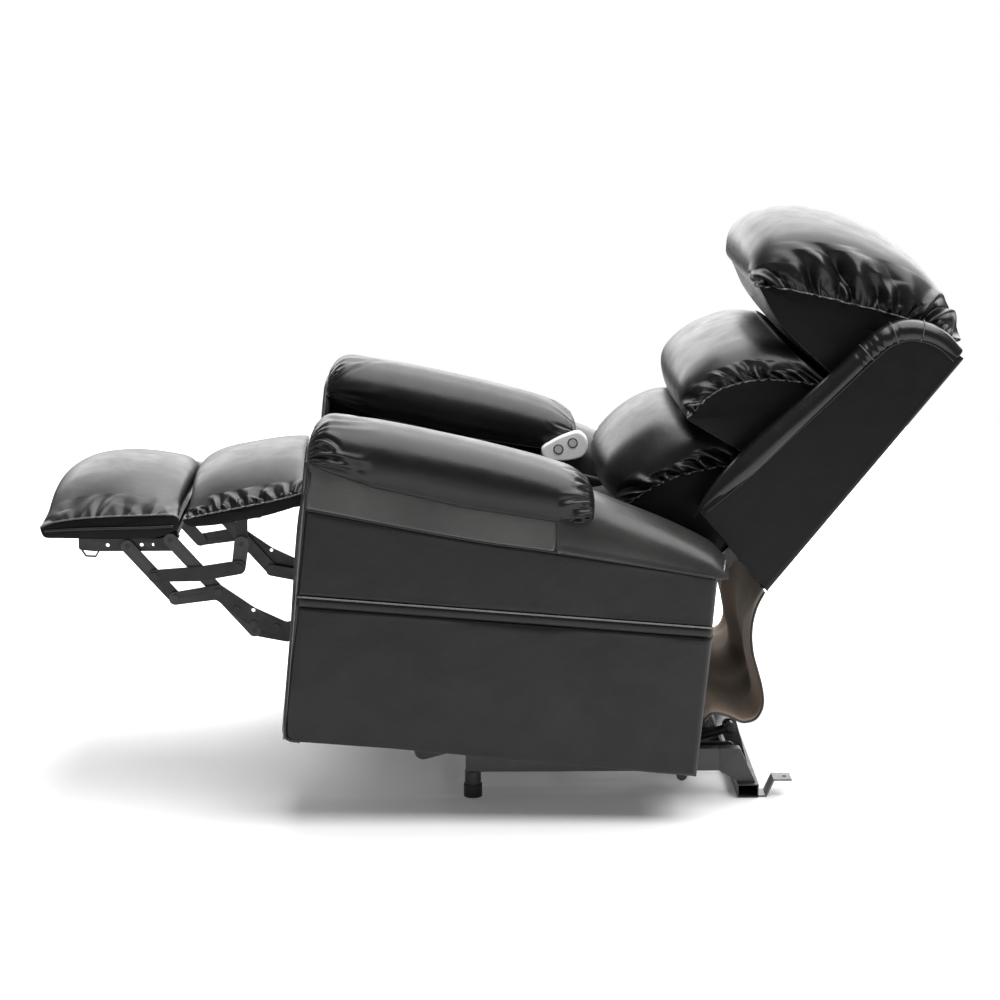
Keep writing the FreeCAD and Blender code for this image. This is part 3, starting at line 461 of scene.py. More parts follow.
def gather_ends(obj, seed, folds):
    """Draws the leather into creases that run in from each sewn end over the top. Each set of folds has
    its spacing, its depth and how far it reaches in."""
    points, grid, normal = sleeve(obj)
    stations, ring, _ = grid.shape
    count = obj["top"]
    index = np.arange(ring)
    on_top = smooth(-1, 6, index) * (1 - smooth(count - 8, count, index)) * (index < count)
    half = stations // 2
    for end in (-1, 1):
        block, facing = grid[::-end][:half], normal[::-end][:half]
        away = np.zeros((half, ring))
        away[1:] = np.cumsum(np.linalg.norm(np.diff(block, axis=0), axis=2), axis=0)
        edge = np.linalg.norm(np.diff(block[0], axis=0, append=block[0][:1]), axis=1)
        along = np.concatenate([[0], np.cumsum(edge)[:-1]])
        push = np.zeros((half, ring))
        for number, (spacing, depth, reach) in enumerate(folds):
            creases = pleats(seed + 7 * number + (end > 0), along[count - 1], spacing, depth, reach)
            push += gathered(np.tile(along, (half, 1)), away, creases)
        block += facing * (push * on_top)[:, :, None]
    set_coordinates(obj, points)


# ---------------------------------------------------------------- panels sewn over boards

def patch(bottom, top, left, right, across, up):
    """A grid of Y-Z points inside four boundary curves. It runs across from left to right and then up."""
    low, high = spread(bottom, across)[None], spread(top, across)[None]
    near, far = spread(left, up)[:, None], spread(right, up)[:, None]
    u = np.linspace(0, 1, across)[None, :, None]
    v = np.linspace(0, 1, up)[:, None, None]
    ruled_up = (1 - v) * low + v * high
    ruled_over = (1 - u) * near + u * far
    corners = (1 - u) * ruled_up[:, :1] + u * ruled_up[:, -1:]
    return ruled_up + ruled_over - corners


def unit_grid(up, across):
    """Each point's share of the way up and of the way across a grid."""
    return np.meshgrid(np.linspace(0, 1, up), np.linspace(0, 1, across), indexing="ij")


def closed_sheet(name, face, back):
    """One closed skin from two grids of points that match, with a border that joins their rims."""
    up, across, _ = face.shape
    shift = up * across
    faces = []
    for j in range(up - 1):
        for i in range(across - 1):
            a = j * across + i
            faces.append((a, a + 1, a + across + 1, a + across))
            faces.append((shift + a, shift + a + across, shift + a + across + 1, shift + a + 1))
    index = np.arange(shift).reshape(up, across)
    border = [*index[0], *index[1:, -1], *index[-1, -2::-1], *index[-2:0:-1, 0]]
    for a, b in zip(border, border[1:] + border[:1]):
        faces.append((a, shift + a, shift + b, b))
    return outward(mesh_object(name, np.vstack([face.reshape(-1, 3), back.reshape(-1, 3)]), faces))


def slab(name, grid, out_x, thick, edge, relief, lean=0.0):
    """A padded panel that faces +X: its face at out_x leans in by lean at its top, with rounded edges."""
    v, _ = unit_grid(*grid.shape[:2])
    over = np.zeros(v.shape)
    over[:, 1:] = np.cumsum(np.linalg.norm(np.diff(grid, axis=1), axis=2), axis=1)
    up = np.zeros(v.shape)
    up[1:] = np.cumsum(np.linalg.norm(np.diff(grid, axis=0), axis=2), axis=0)
    rim = np.minimum(np.minimum(over, over[:, -1:] - over), np.minimum(up, up[-1:] - up))
    inside = np.clip(rim / edge, 0, 1)
    drop = edge * (1 - np.sqrt(1 - (1 - inside) ** 2))
    x = out_x - lean * v - np.minimum(drop, thick * 0.8)
    if relief is not None:
        x = x + relief(grid[:, :, 0], grid[:, :, 1]) * smooth(0, 3 * edge, rim)
    face = np.dstack([x, grid])
    back = np.dstack([out_x - lean * v - thick, grid])
    return closed_sheet(name, face, back)


def on_slab(path, out_x):
    """Puts a Y-Z path on a panel's face."""
    return np.column_stack([np.full(len(path), out_x), path])


# ---------------------------------------------------------------- materials

def material(name):
    """A new material, its node tree, its shader and the object's own coordinates."""
    made = bpy.data.materials.new(name)
    made.use_nodes = True
    tree = made.node_tree
    shader = tree.nodes["Principled BSDF"]
    place = tree.nodes.new("ShaderNodeTexCoord")
    return made, tree, shader, place.outputs["Object"]


def add(tree, kind, **values):
    """A new node, with values for its inputs and settings."""
    node = tree.nodes.new(kind)
    for key, value in values.items():
        if key in node.inputs.keys():
            node.inputs[key].default_value = value
        else:
            setattr(node, key, value)
    return node


def give(node, values):
    """Sets a node's inputs by name."""
    for key, value in values.items():
        node.inputs[key].default_value = value


def noise_node(tree, place, scale, detail=3.0, rough=0.55):
    node = add(tree, "ShaderNodeTexNoise", Scale=scale, Detail=detail, Roughness=rough)
    tree.links.new(place, node.inputs["Vector"])
    return node.outputs["Fac"]


def tinted(tone, times, plus=0.0):
    """A tone made darker or paler, with its alpha."""
    return tuple(min(1, c * times + plus) for c in tone) + (1,)


def ramp(tree, source, stops):
    """A colour ramp over a source. A stop's colour may be a single grey value."""
    node = tree.nodes.new("ShaderNodeValToRGB")
    band = node.color_ramp
    while len(band.elements) < len(stops):
        band.elements.new(0.5)
    for element, (at, color) in zip(band.elements, stops):
        element.position = at
        element.color = color if hasattr(color, "__len__") else (color, color, color, 1)
    tree.links.new(source, node.inputs["Fac"])
    return node.outputs["Color"]


def vary(tree, shader, value, source, *stops):
    """Lets one of the shader's values or colours follow a source."""
    tree.links.new(ramp(tree, source, stops), shader.inputs[value])


def bumps(tree, shader, layers):
    """Stacks height fields, each with a strength and a distance, into the shader's normal."""
    last = None
    for height, strength, distance in layers:
        node = add(tree, "ShaderNodeBump", Strength=strength, Distance=distance)
        tree.links.new(height, node.inputs["Height"])
        if last is not None:
            tree.links.new(last, node.inputs["Normal"])
        last = node.outputs["Normal"]
    tree.links.new(last, shader.inputs["Normal"])


def rub_edges(tree, shader, color, span, bare):
    """Paints the surface with a colour that turns to another where its edges are rubbed."""
    shape = tree.nodes.new("ShaderNodeNewGeometry")
    rubbed = ramp(tree, shape.outputs["Pointiness"], [(span[0], 0.0), (span[1], 1.0)])
    worn = add(tree, "ShaderNodeMix", data_type="RGBA")
    worn.inputs["B"].default_value = bare
    tree.links.new(rubbed, worn.inputs["Factor"])
    tree.links.new(color, worn.inputs["A"])
    tree.links.new(worn.outputs["Result"], shader.inputs["Base Color"])


def leather(name, tone, rough, soft=1.0, sheen=0.0, shine=0.5):
    """Bonded leather: fine pebble grain, soft creases, uneven tone, paler where edges are rubbed."""
    made, tree, shader, place = material(name)
    links = tree.links
    uneven = noise_node(tree, place, 5.0, 4.0, 0.6)
    color = ramp(tree, uneven, [(0.35, tinted(tone, 0.82)), (0.68, tinted(tone, 1.25))])
    rub_edges(tree, shader, color, (0.52, 0.62), tinted(tone, 2.4, 0.012))
    cells = add(tree, "ShaderNodeTexVoronoi", Scale=620.0, feature="SMOOTH_F1")
    links.new(place, cells.inputs["Vector"])
    fine = noise_node(tree, place, 1400.0, 2.0)
    crease = noise_node(tree, place, 46.0, 5.0, 0.62)
    slow = noise_node(tree, place, 13.0, 3.0)
    bumps(tree, shader, [(slow, 0.35 * soft, 0.004), (crease, 0.30 * soft, 0.0012),
                         (cells.outputs["Distance"], 0.28, 0.0005), (fine, 0.12, 0.0002)])
    patches = noise_node(tree, place, 22.0, 4.0)
    vary(tree, shader, "Roughness", patches, (0.3, rough - 0.05), (0.7, rough + 0.06))
    give(shader, {"Specular IOR Level": shine, "Coat Weight": sheen, "Coat Roughness": 0.28})
    return made


def painted_steel(name, tone, rough):
    """Satin paint on pressed steel, with faint orange peel and rubbed edges."""
    made, tree, shader, place = material(name)
    spots = noise_node(tree, place, 60.0, 5.0, 0.6)
    color = ramp(tree, spots, [(0.3, tinted(tone, 0.8)), (0.75, tinted(tone, 1.3))])
    rub_edges(tree, shader, color, (0.53, 0.66), (0.05, 0.05, 0.048, 1))
    give(shader, {"Metallic": 0.1})
    vary(tree, shader, "Roughness", noise_node(tree, place, 35.0), (0.3, rough - 0.07), (0.7, rough + 0.1))
    bumps(tree, shader, [(noise_node(tree, place, 420.0, 2.0), 0.10, 0.0003)])
    return made


def bright_steel(name):
    made, tree, shader, place = material(name)
    stretch = add(tree, "ShaderNodeMapping", Scale=(40, 4, 40))
    tree.links.new(place, stretch.inputs["Vector"])
    lines = noise_node(tree, stretch.outputs["Vector"], 30.0, 4.0)
    vary(tree, shader, "Base Color", lines, (0.3, (0.42, 0.42, 0.43, 1)), (0.7, (0.62, 0.62, 0.63, 1)))
    give(shader, {"Metallic": 1.0})
    vary(tree, shader, "Roughness", lines, (0.2, 0.22), (0.8, 0.38))
    bumps(tree, shader, [(lines, 0.08, 0.0002)])
    return made


def plastic(name, tone, rough, grain=0.15):
    made, tree, shader, place = material(name)
    tint = noise_node(tree, place, 18.0, 3.0)
    vary(tree, shader, "Base Color", tint, (0.3, tinted(tone, 0.92)), (0.7, tinted(tone, 1.06)))
    vary(tree, shader, "Roughness", noise_node(tree, place, 90.0), (0.3, rough - 0.03), (0.7, rough + 0.06))
    bumps(tree, shader, [(noise_node(tree, place, 900.0, 2.0), grain, 0.0002)])
    return made


def cloth(name, tone):
    """A plain woven cloth: two crossed sets of threads."""
    made, tree, shader, place = material(name)
    links = tree.links
    waves = []
    for direction in ("X", "Z"):
        wave = add(tree, "ShaderNodeTexWave", Scale=900.0 / 6.28, bands_direction=direction, Distortion=0.6)
        links.new(place, wave.inputs["Vector"])
        waves.append(wave.outputs["Fac"])
    weave = add(tree, "ShaderNodeMath", operation="MULTIPLY")
    links.new(waves[0], weave.inputs[0])
    links.new(waves[1], weave.inputs[1])
    fuzz = noise_node(tree, place, 9.0, 5.0)
    vary(tree, shader, "Base Color", fuzz, (0.3, tinted(tone, 0.78)), (0.7, tinted(tone, 1.15)))
    give(shader, {"Roughness": 0.9, "Sheen Weight": 0.25})
    bumps(tree, shader, [(noise_node(tree, place, 30.0, 4.0), 0.4, 0.002),
                         (weave.outputs["Value"], 0.3, 0.0004)])
    return made


def plywood(name):
    made, tree, shader, place = material(name)
    stretch = add(tree, "ShaderNodeMapping", Scale=(2.0, 2.0, 26.0))
    tree.links.new(place, stretch.inputs["Vector"])
    grain = noise_node(tree, stretch.outputs["Vector"], 9.0, 6.0, 0.65)
    vary(tree, shader, "Base Color", grain, (0.3, (0.36, 0.23, 0.12, 1)), (0.7, (0.62, 0.45, 0.27, 1)))
    give(shader, {"Roughness": 0.62})
    bumps(tree, shader, [(grain, 0.2, 0.0005)])
    return made


BLACK = (0.0060, 0.0058, 0.0056)
LEATHER = leather("black_leather", BLACK, rough=0.34, soft=0.6, shine=0.36)
LEATHER_ROLL = leather("black_leather_roll", BLACK, rough=0.25, soft=0.5, sheen=0.15, shine=0.34)
# A paler copy of the black leather for the bolsters and the wings' cross seams: painted light.
LEATHER_PAINTED_LIGHT = leather("black_leather_painted_light", (0.027, 0.0265, 0.0258), rough=0.34, sheen=0.05, shine=0.38)
# A paler copy of the black leather for the band under the arm roll: painted light where the band tilts up to
# the lamps.
LEATHER_BAND_PAINTED_LIGHT = leather("black_leather_band_painted_light", (0.064, 0.0632, 0.0620), rough=0.38, shine=0.36)
LEATHER_FLAT = leather("black_leather_flat", BLACK, rough=0.38, soft=0.9, shine=0.34)
# A darker copy of the black leather for the wing boards: painted shade.
LEATHER_WING_PAINTED_SHADE = leather("black_leather_wing", (0.0045, 0.0043, 0.0042), rough=0.36, soft=0.6, shine=0.20)
# A darker copy of the black leather for the pillows' end panels: painted shade.
LEATHER_END_PAINTED_SHADE = leather("black_leather_end_painted_shade", (0.0040, 0.0038, 0.0037), rough=0.40, soft=0.9, shine=0.14)
# Pale piping: a painted highlight along the black leather piping.
PIPING_PAINTED_HIGHLIGHT = leather("leather_piping", (0.060, 0.059, 0.057), rough=0.26, soft=0.2, sheen=0.6)
FLAP_OUT = leather("flap_outside", (0.010, 0.010, 0.0095), rough=0.5, soft=0.6, sheen=0.05)
FLAP_IN = cloth("flap_backing", (0.30, 0.225, 0.165))
LINING = cloth("black_lining", (0.010, 0.010, 0.010))
WEBBING = cloth("seat_webbing", (0.33, 0.27, 0.18))
LINK_STEEL = painted_steel("link_steel", (0.008, 0.008, 0.008), 0.46)
FRAME_STEEL = painted_steel("frame_steel", (0.007, 0.007, 0.007), 0.36)
STRAP_STEEL = painted_steel("strap_steel", (0.20, 0.20, 0.205), 0.3)
ROD_STEEL = bright_steel("rod_steel")
MOTOR_BLACK = plastic("motor_black", (0.012, 0.012, 0.012), 0.18)
FOOT_BLACK = plastic("foot_black", (0.016, 0.016, 0.016), 0.55, 0.4)
BOARD = plywood("plywood")
HANDSET = plastic("handset_white", (0.97, 0.97, 0.96), 0.24, 0.05)
BUTTON = plastic("button_grey", (0.60, 0.60, 0.59), 0.4)
RING = plastic("button_ring", (0.03, 0.03, 0.032), 0.35)

SLOT_LOOK = {"link_steel": LINK_STEEL, "frame_steel": FRAME_STEEL, "base_steel": FRAME_STEEL,
             "strap_steel": STRAP_STEEL, "rod_steel": ROD_STEEL, "motor_plastic": MOTOR_BLACK,
             "foot_plastic": FOOT_BLACK, "board": BOARD, "webbing": WEBBING, "handset_plastic": HANDSET,
             "button_plastic": BUTTON, "upholstery": LEATHER, "flap_cloth": FLAP_OUT}


def dress(obj, look):
    """Gives a piece one material in place of its own."""
    obj.data.materials.clear()
    obj.data.materials.append(look)
    return obj


for part in frame["record"]["subparts"]:
    dress(NODES[part["node"]], SLOT_LOOK[part["material_slot"]])
# The boards are covered in black cloth wherever the leather leaves them bare.
for name in ("arm_inner_boards", "arm_outer_boards", "arm_end_boards", "back_panel", "footboard_panel",
             "chaise_board"):
    dress(NODES[name], LINING)


def upholster(obj, body, nodes, look):
    """Gives a made piece its leather, the body that it rides on and the CAD nodes that it stands for."""
    dress(obj, look)
    if body:
        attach(obj, body)
    if nodes:
        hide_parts(*nodes)


def both_sides(obj, body, nodes, look):
    """Finishes a left piece and makes its right twin. The nodes are named without _left or _right."""
    twin = flipped(obj, obj.name.replace("_left", "_right"))
    for piece, side in ((obj, "_left"), (twin, "_right")):
        upholster(piece, body, [node + side for node in nodes], look)


# ---------------------------------------------------------------- back pillows

PIPING_RADIUS = 0.0017


def paint_end_shade(obj):
    """Gives the panels outside a pillow's end seams a darker copy of the leather: painted shade."""
    low = (obj["first"] + 1) * obj["ring"]
    high = (obj["first"] + obj["stations"] - 1) * obj["ring"]
    obj.data.materials.append(LEATHER_END_PAINTED_SHADE)
    for face in obj.data.polygons:
        if all(i < low or i >= high for i in face.vertices):
            face.material_index = 1


def finish_pillow(obj, body, nodes, seed, folds, cap, fill, press=None):
    """Lets a pillow swell, subdivides it, gathers its sewn ends, paints shade on its end panels and adds its
    piping.
    """
    seams = [ring_index(obj, station, i) for station in (0, obj["stations"] - 1) for i in range(obj["ring"])]
    swell(obj, pressure=4.0, cap=cap, held=seams)
    refine(obj, 2)
    gather_ends(obj, seed, folds)
    upholster(obj, body, nodes, LEATHER)
    paint_end_shade(obj)
    for label, end in (("right", -1), ("left", 1)):
        # The piping is pale as a painted highlight.
        welt = tube(f"{obj.name}_piping_{label}", spread(seam_path(obj, end), 120), PIPING_RADIUS)
        upholster(welt, body, (), PIPING_PAINTED_HIGHLIGHT)
        if press:
            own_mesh(welt)
    if press:
        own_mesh(obj)


# Each back pillow in back coordinates: over its middle's top and back underneath, then the same of its
# sewn end, then what pillow and finish_pillow need.
BACK_PILLOWS = {
    "lower": (
        [(-0.046, 0.280), (-0.056, 0.328), (-0.030, 0.366), (0.046, 0.370), (0.120, 0.342), (0.165, 0.292)],
        [(0.166, 0.200), (0.150, 0.100), (0.060, 0.086), (-0.022, 0.096), (-0.036, 0.190)],
        [(-0.040, 0.286), (0.000, 0.275), (0.045, 0.255), (0.092, 0.222), (0.133, 0.185), (0.160, 0.150)],
        [(0.150, 0.110), (0.120, 0.088), (0.050, 0.086), (-0.020, 0.096), (-0.034, 0.190)],
        {"half": 0.2335, "shoulder": 0.085, "counts": (50, 30), "bulge": 0.012},
        {"seed": 11, "folds": [(0.034, 0.0095, 0.080), (0.016, 0.0030, 0.034)], "fill": 0.75}),
    "middle": (
        [(0.156, 0.300), (0.162, 0.336), (0.192, 0.362), (0.258, 0.359), (0.336, 0.318), (0.374, 0.268)],
        [(0.378, 0.190), (0.368, 0.095), (0.280, 0.086), (0.186, 0.096), (0.176, 0.190)],
        [(0.155, 0.308), (0.195, 0.306), (0.238, 0.294), (0.296, 0.248), (0.340, 0.185), (0.366, 0.130)],
        [(0.364, 0.105), (0.345, 0.090), (0.270, 0.086), (0.190, 0.096), (0.172, 0.190)],
        {"half": 0.262, "shoulder": 0.082, "counts": (50, 30), "bulge": 0.012},
        {"seed": 23, "folds": [(0.028, 0.0085, 0.066), (0.014, 0.0030, 0.030)], "fill": 0.75}),
    "top": (
        [(0.424, 0.355), (0.436, 0.392), (0.470, 0.413), (0.526, 0.404), (0.586, 0.343), (0.626, 0.250),
         (0.638, 0.148), (0.620, 0.062), (0.582, -0.002)],
        [(0.566, 0.014), (0.558, 0.070), (0.480, 0.088), (0.392, 0.100), (0.386, 0.200), (0.396, 0.290)],
        [(0.426, 0.362), (0.445, 0.334), (0.465, 0.296), (0.486, 0.254), (0.506, 0.210), (0.526, 0.168),
         (0.544, 0.124), (0.562, 0.074), (0.572, 0.014)],
        [(0.562, 0.026), (0.554, 0.076), (0.480, 0.092), (0.394, 0.104), (0.390, 0.200), (0.400, 0.290)],
        {"half": 0.262, "shoulder": 0.082, "counts": (60, 34), "bulge": 0.010},
        {"seed": 37, "folds": [(0.044, 0.0125, 0.105), (0.020, 0.0045, 0.048), (0.009, 0.0014, 0.018)],
         "fill": 0.8}),
}


def make_pillows():
    """The three pillows of the backrest, from the lowest up."""
    for name, (*outlines, shape, finish) in BACK_PILLOWS.items():
        outlines = [[on_back(along, forward) for along, forward in outline] for outline in outlines]
        made = pillow(f"{name}_pillow", *outlines, **shape)
        finish_pillow(made, "backrest", ["pillow_" + name], cap=0.006, **finish)


# ---------------------------------------------------------------- seat and legrest cushions

def make_seat():
    """The seat cushion, between the arms."""
    seat = pillow(
        "seat_cushion_cover",
        [(-0.338, 0.556), (-0.348, 0.590), (-0.340, 0.622), (-0.295, 0.634), (-0.150, 0.622),
         (-0.020, 0.598), (0.040, 0.578), (0.056, 0.552)],
        [(0.060, 0.520), (0.020, 0.501), (-0.150, 0.514), (-0.300, 0.528), (-0.334, 0.536)],
        [(-0.336, 0.552), (-0.340, 0.575), (-0.330, 0.596), (-0.290, 0.604), (-0.150, 0.592),
         (-0.020, 0.570), (0.036, 0.558), (0.052, 0.546)],
        [(0.056, 0.524), (0.020, 0.503), (-0.150, 0.516), (-0.300, 0.529), (-0.331, 0.538)],
        half=0.243, shoulder=0.070, counts=(45, 30), bulge=0.002)
    finish_pillow(seat, "chair_frame", ["seat_cushion"], seed=71, folds=[(0.045, 0.0022, 0.055)], cap=0.005,
                  fill=0.85)


def make_legrest():
    """The footboard's pad, and the pad behind it. Its press settings only give its pieces meshes of their
    own; nothing here presses it together when the legrest folds.
    """
    pad = pillow(
        "footboard_cushion",
        [(-0.857, 0.532), (-0.850, 0.566), (-0.806, 0.598), (-0.735, 0.611), (-0.660, 0.605),
         (-0.608, 0.590), (-0.594, 0.568), (-0.600, 0.546)],
        [(-0.605, 0.526), (-0.640, 0.5065), (-0.730, 0.505), (-0.820, 0.505), (-0.850, 0.510)],
        [(-0.856, 0.526), (-0.840, 0.533), (-0.796, 0.541), (-0.730, 0.546), (-0.662, 0.548),
         (-0.620, 0.549), (-0.606, 0.547), (-0.600, 0.542)],
        [(-0.605, 0.524), (-0.640, 0.5065), (-0.730, 0.505), (-0.820, 0.505), (-0.850, 0.508)],
        half=0.252, shoulder=0.150, counts=(48, 30), sharp=2.0, tuck=0.04, bulge=0.003, steps=(4, 18))
    finish_pillow(pad, "footboard", ["footboard_pad"], seed=83, folds=[(0.040, 0.0018, 0.070)], cap=0.005,
                  fill=0.8)
    for label, side in (("left", 1), ("right", -1)):
        welt = spline([(side * 0.2540, -0.848, 0.519), (side * 0.2560, -0.800, 0.522),
                       (side * 0.2565, -0.730, 0.524), (side * 0.2560, -0.660, 0.525),
                       (side * 0.2540, -0.610, 0.527)], 60)
        upholster(tube(f"footboard_welt_{label}", welt, 0.0026), "footboard", (), LEATHER)

    chaise = pillow(
        "chaise_cushion",
        [(-0.594, 0.548), (-0.588, 0.582), (-0.552, 0.608), (-0.480, 0.625), (-0.400, 0.634),
         (-0.364, 0.628), (-0.356, 0.610)],
        [(-0.362, 0.594), (-0.400, 0.584), (-0.486, 0.564), (-0.560, 0.546), (-0.588, 0.540)],
        [(-0.594, 0.537), (-0.560, 0.545), (-0.520, 0.553), (-0.484, 0.560), (-0.430, 0.571),
         (-0.385, 0.582), (-0.360, 0.590)],
        [(-0.372, 0.568), (-0.420, 0.549), (-0.486, 0.534), (-0.550, 0.525), (-0.585, 0.526)],
        half=0.241, shoulder=0.135, counts=(48, 28), sharp=2.1, tuck=0.06, bulge=0.003, steps=(4, 18))
    finish_pillow(
        chaise, "chaise", ["chaise_pad"], seed=97, folds=[(0.021, 0.0045, 0.045), (0.010, 0.0016, 0.020)],
        cap=0.005, fill=0.7,
        press={"joint": "legrest", "axis": (0, -0.974, -0.226), "anchor": (0, -0.356, 0.600), "keep": 0.78})


# ---------------------------------------------------------------- arms

# Seams of the near side as Y-Z points, and the X of its leather.
ARM_SEAM = [(-0.354, 0.595), (-0.056, 0.537), (0.090, 0.515), (0.384, 0.467)]
ROLL_SEAM = [(-0.350, 0.682), (-0.237, 0.642), (-0.074, 0.603), (0.104, 0.575)]
FLAP_LINE = [(-0.372, 0.436), (0.376, 0.374)]
SIDE_X = 0.4285


def fold_relief(seed, amount):
    """Slow waves in a panel, with finer and shallower ones on them."""
    def relief(y, z):
        points = np.column_stack([np.zeros(y.size), y.ravel(), z.ravel()])
        waves = undulate(points, 5.0, amount, seed) + undulate(points, 14.0, amount * 0.25, seed + 5)
        return waves.reshape(y.shape)
    return relief


def arm_line(name, path, radius, look=LEATHER_FLAT):
    """A seam or piping along a line of 3-D points, on both arms."""
    both_sides(tube(name + "_left", path, radius), "chair_frame", (), look)


def arm_panel(name, grid, out_x, edge, thick=0.007, relief=None, lean=0.0, look=LEATHER_FLAT,
              nodes=()):
    """A padded panel on the outer side of both arms."""
    panel = slab(name + "_left", grid, out_x, thick, edge, relief, lean)
    both_sides(panel, "chair_frame", nodes, look)


def make_side_panels():
    """The outer sides of the arms, from the lower panel up to the band under the arm roll."""
    hem_drop = 0.019
    hem_front, hem_rear = FLAP_LINE
    side_seam = [(-0.372, 0.418), (0.377, 0.356)]
    low_rear = in_body(0.757, -0.007)
    front = [in_body(0.018, 0.0), in_body(0.006, 0.005), in_body(0.001, 0.020), in_body(0.0, 0.10)]
    lower = patch([front[0], in_body(0.20, 0.001), low_rear], side_seam, spline(front + [side_seam[0]], 60),
                  [low_rear, side_seam[1]], 130, 60)
    arm_panel("side_panel", lower, SIDE_X - 0.002, edge=0.005, relief=fold_relief(2, 0.0035),
              nodes=["side_cover"])
    upper = patch(FLAP_LINE, spline(ARM_SEAM, 60), [hem_front, ARM_SEAM[0]], [hem_rear, ARM_SEAM[3]], 130, 36)
    arm_panel("upper_side_panel", upper, SIDE_X + 0.0005, edge=0.004, relief=fold_relief(3, 0.0015))
    low_edge = [(hem_front[0], hem_front[1] - hem_drop), (hem_rear[0] + 0.001, hem_rear[1] - hem_drop)]
    hem = patch(low_edge, FLAP_LINE, [low_edge[0], hem_front], [low_edge[1], hem_rear], 110, 9)
    arm_panel("hem_band", hem, SIDE_X + 0.0028, thick=0.006, edge=0.0065, look=LEATHER)
    # The pale hem piping is a painted highlight.
    arm_line("hem_piping", on_slab(spread(FLAP_LINE, 60), SIDE_X + 0.0022), 0.0018, PIPING_PAINTED_HIGHLIGHT)
    arm_line("arm_seam", on_slab(spline(ARM_SEAM, 80), SIDE_X + 0.0008), 0.0014)
    edge = spline([in_body(0.03, 0.002), in_body(0.006, 0.006), in_body(0.001, 0.03), in_body(0.0, 0.20),
                   in_body(0.0, 0.43), (-0.352, 0.640), (-0.352, 0.684)], 90)
    arm_line("front_edge_piping", on_slab(edge, SIDE_X - 0.001), 0.0024, LEATHER)
    # The band under the roll is paler: painted light.
    band = patch(spline(ARM_SEAM[:3], 60), spline(ROLL_SEAM, 60), [ARM_SEAM[0], ROLL_SEAM[0]],
                 [ARM_SEAM[2], ROLL_SEAM[3]], 110, 22)
    arm_panel("arm_band", band, SIDE_X + 0.001, edge=0.003, lean=0.012, relief=fold_relief(7, 0.0012),
              look=LEATHER_BAND_PAINTED_LIGHT)
    arm_line("roll_seam", on_slab(spline(ROLL_SEAM, 80), 0.418), 0.0014)
    joint = [(SIDE_X + 0.0005, 0.091, 0.516), (0.4215, 0.098, 0.545), (0.4165, 0.104, 0.575)]
    arm_line("arm_joint_seam", joint, 0.0015)


def make_rear_ends():
    """The leather over each arm's rear end."""
    v, u = unit_grid(60, 30)
    inner_x, wide = 0.2625, 0.1575
    (foot_y, foot_z), (head_y, head_z) = (0.3402, 0.096), (0.3724, 0.460)
    back = np.dstack([inner_x + wide * u, foot_y + v * (head_y - foot_y), foot_z + v * (head_z - foot_z)])
    rim = np.minimum(np.minimum(u, 1 - u), 2.3 * np.minimum(v, 1 - v))
    puff = 0.003 + 0.004 * smooth(0, 0.09, rim)
    face = back.copy()
    face[:, :, 1] += puff + undulate(back.reshape(-1, 3), 9.0, 0.0010, 61).reshape(v.shape)
    both_sides(closed_sheet("arm_rear_left", face, back), "chair_frame", (), LEATHER_FLAT)


def make_front_panels():
    """The upright front of each arm, rounded at its top where the roll is gathered round it."""
    v, u = unit_grid(60, 40)
    u = 2 * u - 1
    low, high = BODY_FOOT[1] + 0.004, 0.712
    middle, widest = 0.3455, 0.0785
    arch_foot, arch_height = 0.640, 0.074
    front_y, puff, thick = -0.4015, 0.005, 0.010
    height = low + v * (high - low)
    arch = np.sqrt(np.maximum(0, 1 - np.maximum(0, (height - arch_foot) / arch_height) ** 2))
    x = middle + widest * np.maximum(arch, 0.06) * u
    y = front_y + (height - BODY_FOOT[1]) * math.tan(BODY_TILT) * 1.10
    rim = smooth(0, 0.10, 1 - abs(u)) * smooth(0, 0.05, np.minimum(v, 1 - v) * 2)
    front = np.dstack([x, y - puff * rim, height])
    panel = closed_sheet("arm_front_left", front, front + np.array([0, thick, 0]))
    rim = list(front[:, -1]) + list(front[::-1, 0])
    both_sides(panel, "chair_frame", (), LEATHER)
    # Its pale piping is a painted highlight.
    arm_line("arm_front_piping", spread(rim, 160), 0.0024, PIPING_PAINTED_HIGHLIGHT)


def arm_section(y, seam_outer, top, pinch, lift):
    """One closed section of an arm roll in X and Z: full sides, a domed top and a flat underside."""
    inner_x, outer_x = 0.2600, 0.4340
    half = (outer_x - inner_x) / 2 * pinch
    middle = (outer_x + inner_x) / 2
    seat = seam_outer - 0.006
    height = (top - seat) * lift
    centre = seat + 0.32 * height
    points = []
    for angle in np.radians(np.linspace(-38, 218, 37)):
        c, s = math.cos(angle), math.sin(angle)
        reach = height * (0.68 if s > 0 else 0.52)
        points.append((middle + half * squarish(c, 2.5), y, centre + reach * squarish(s, 2.25)))
    return [*points, *spread([points[-1], points[0]], 9)[1:-1]]


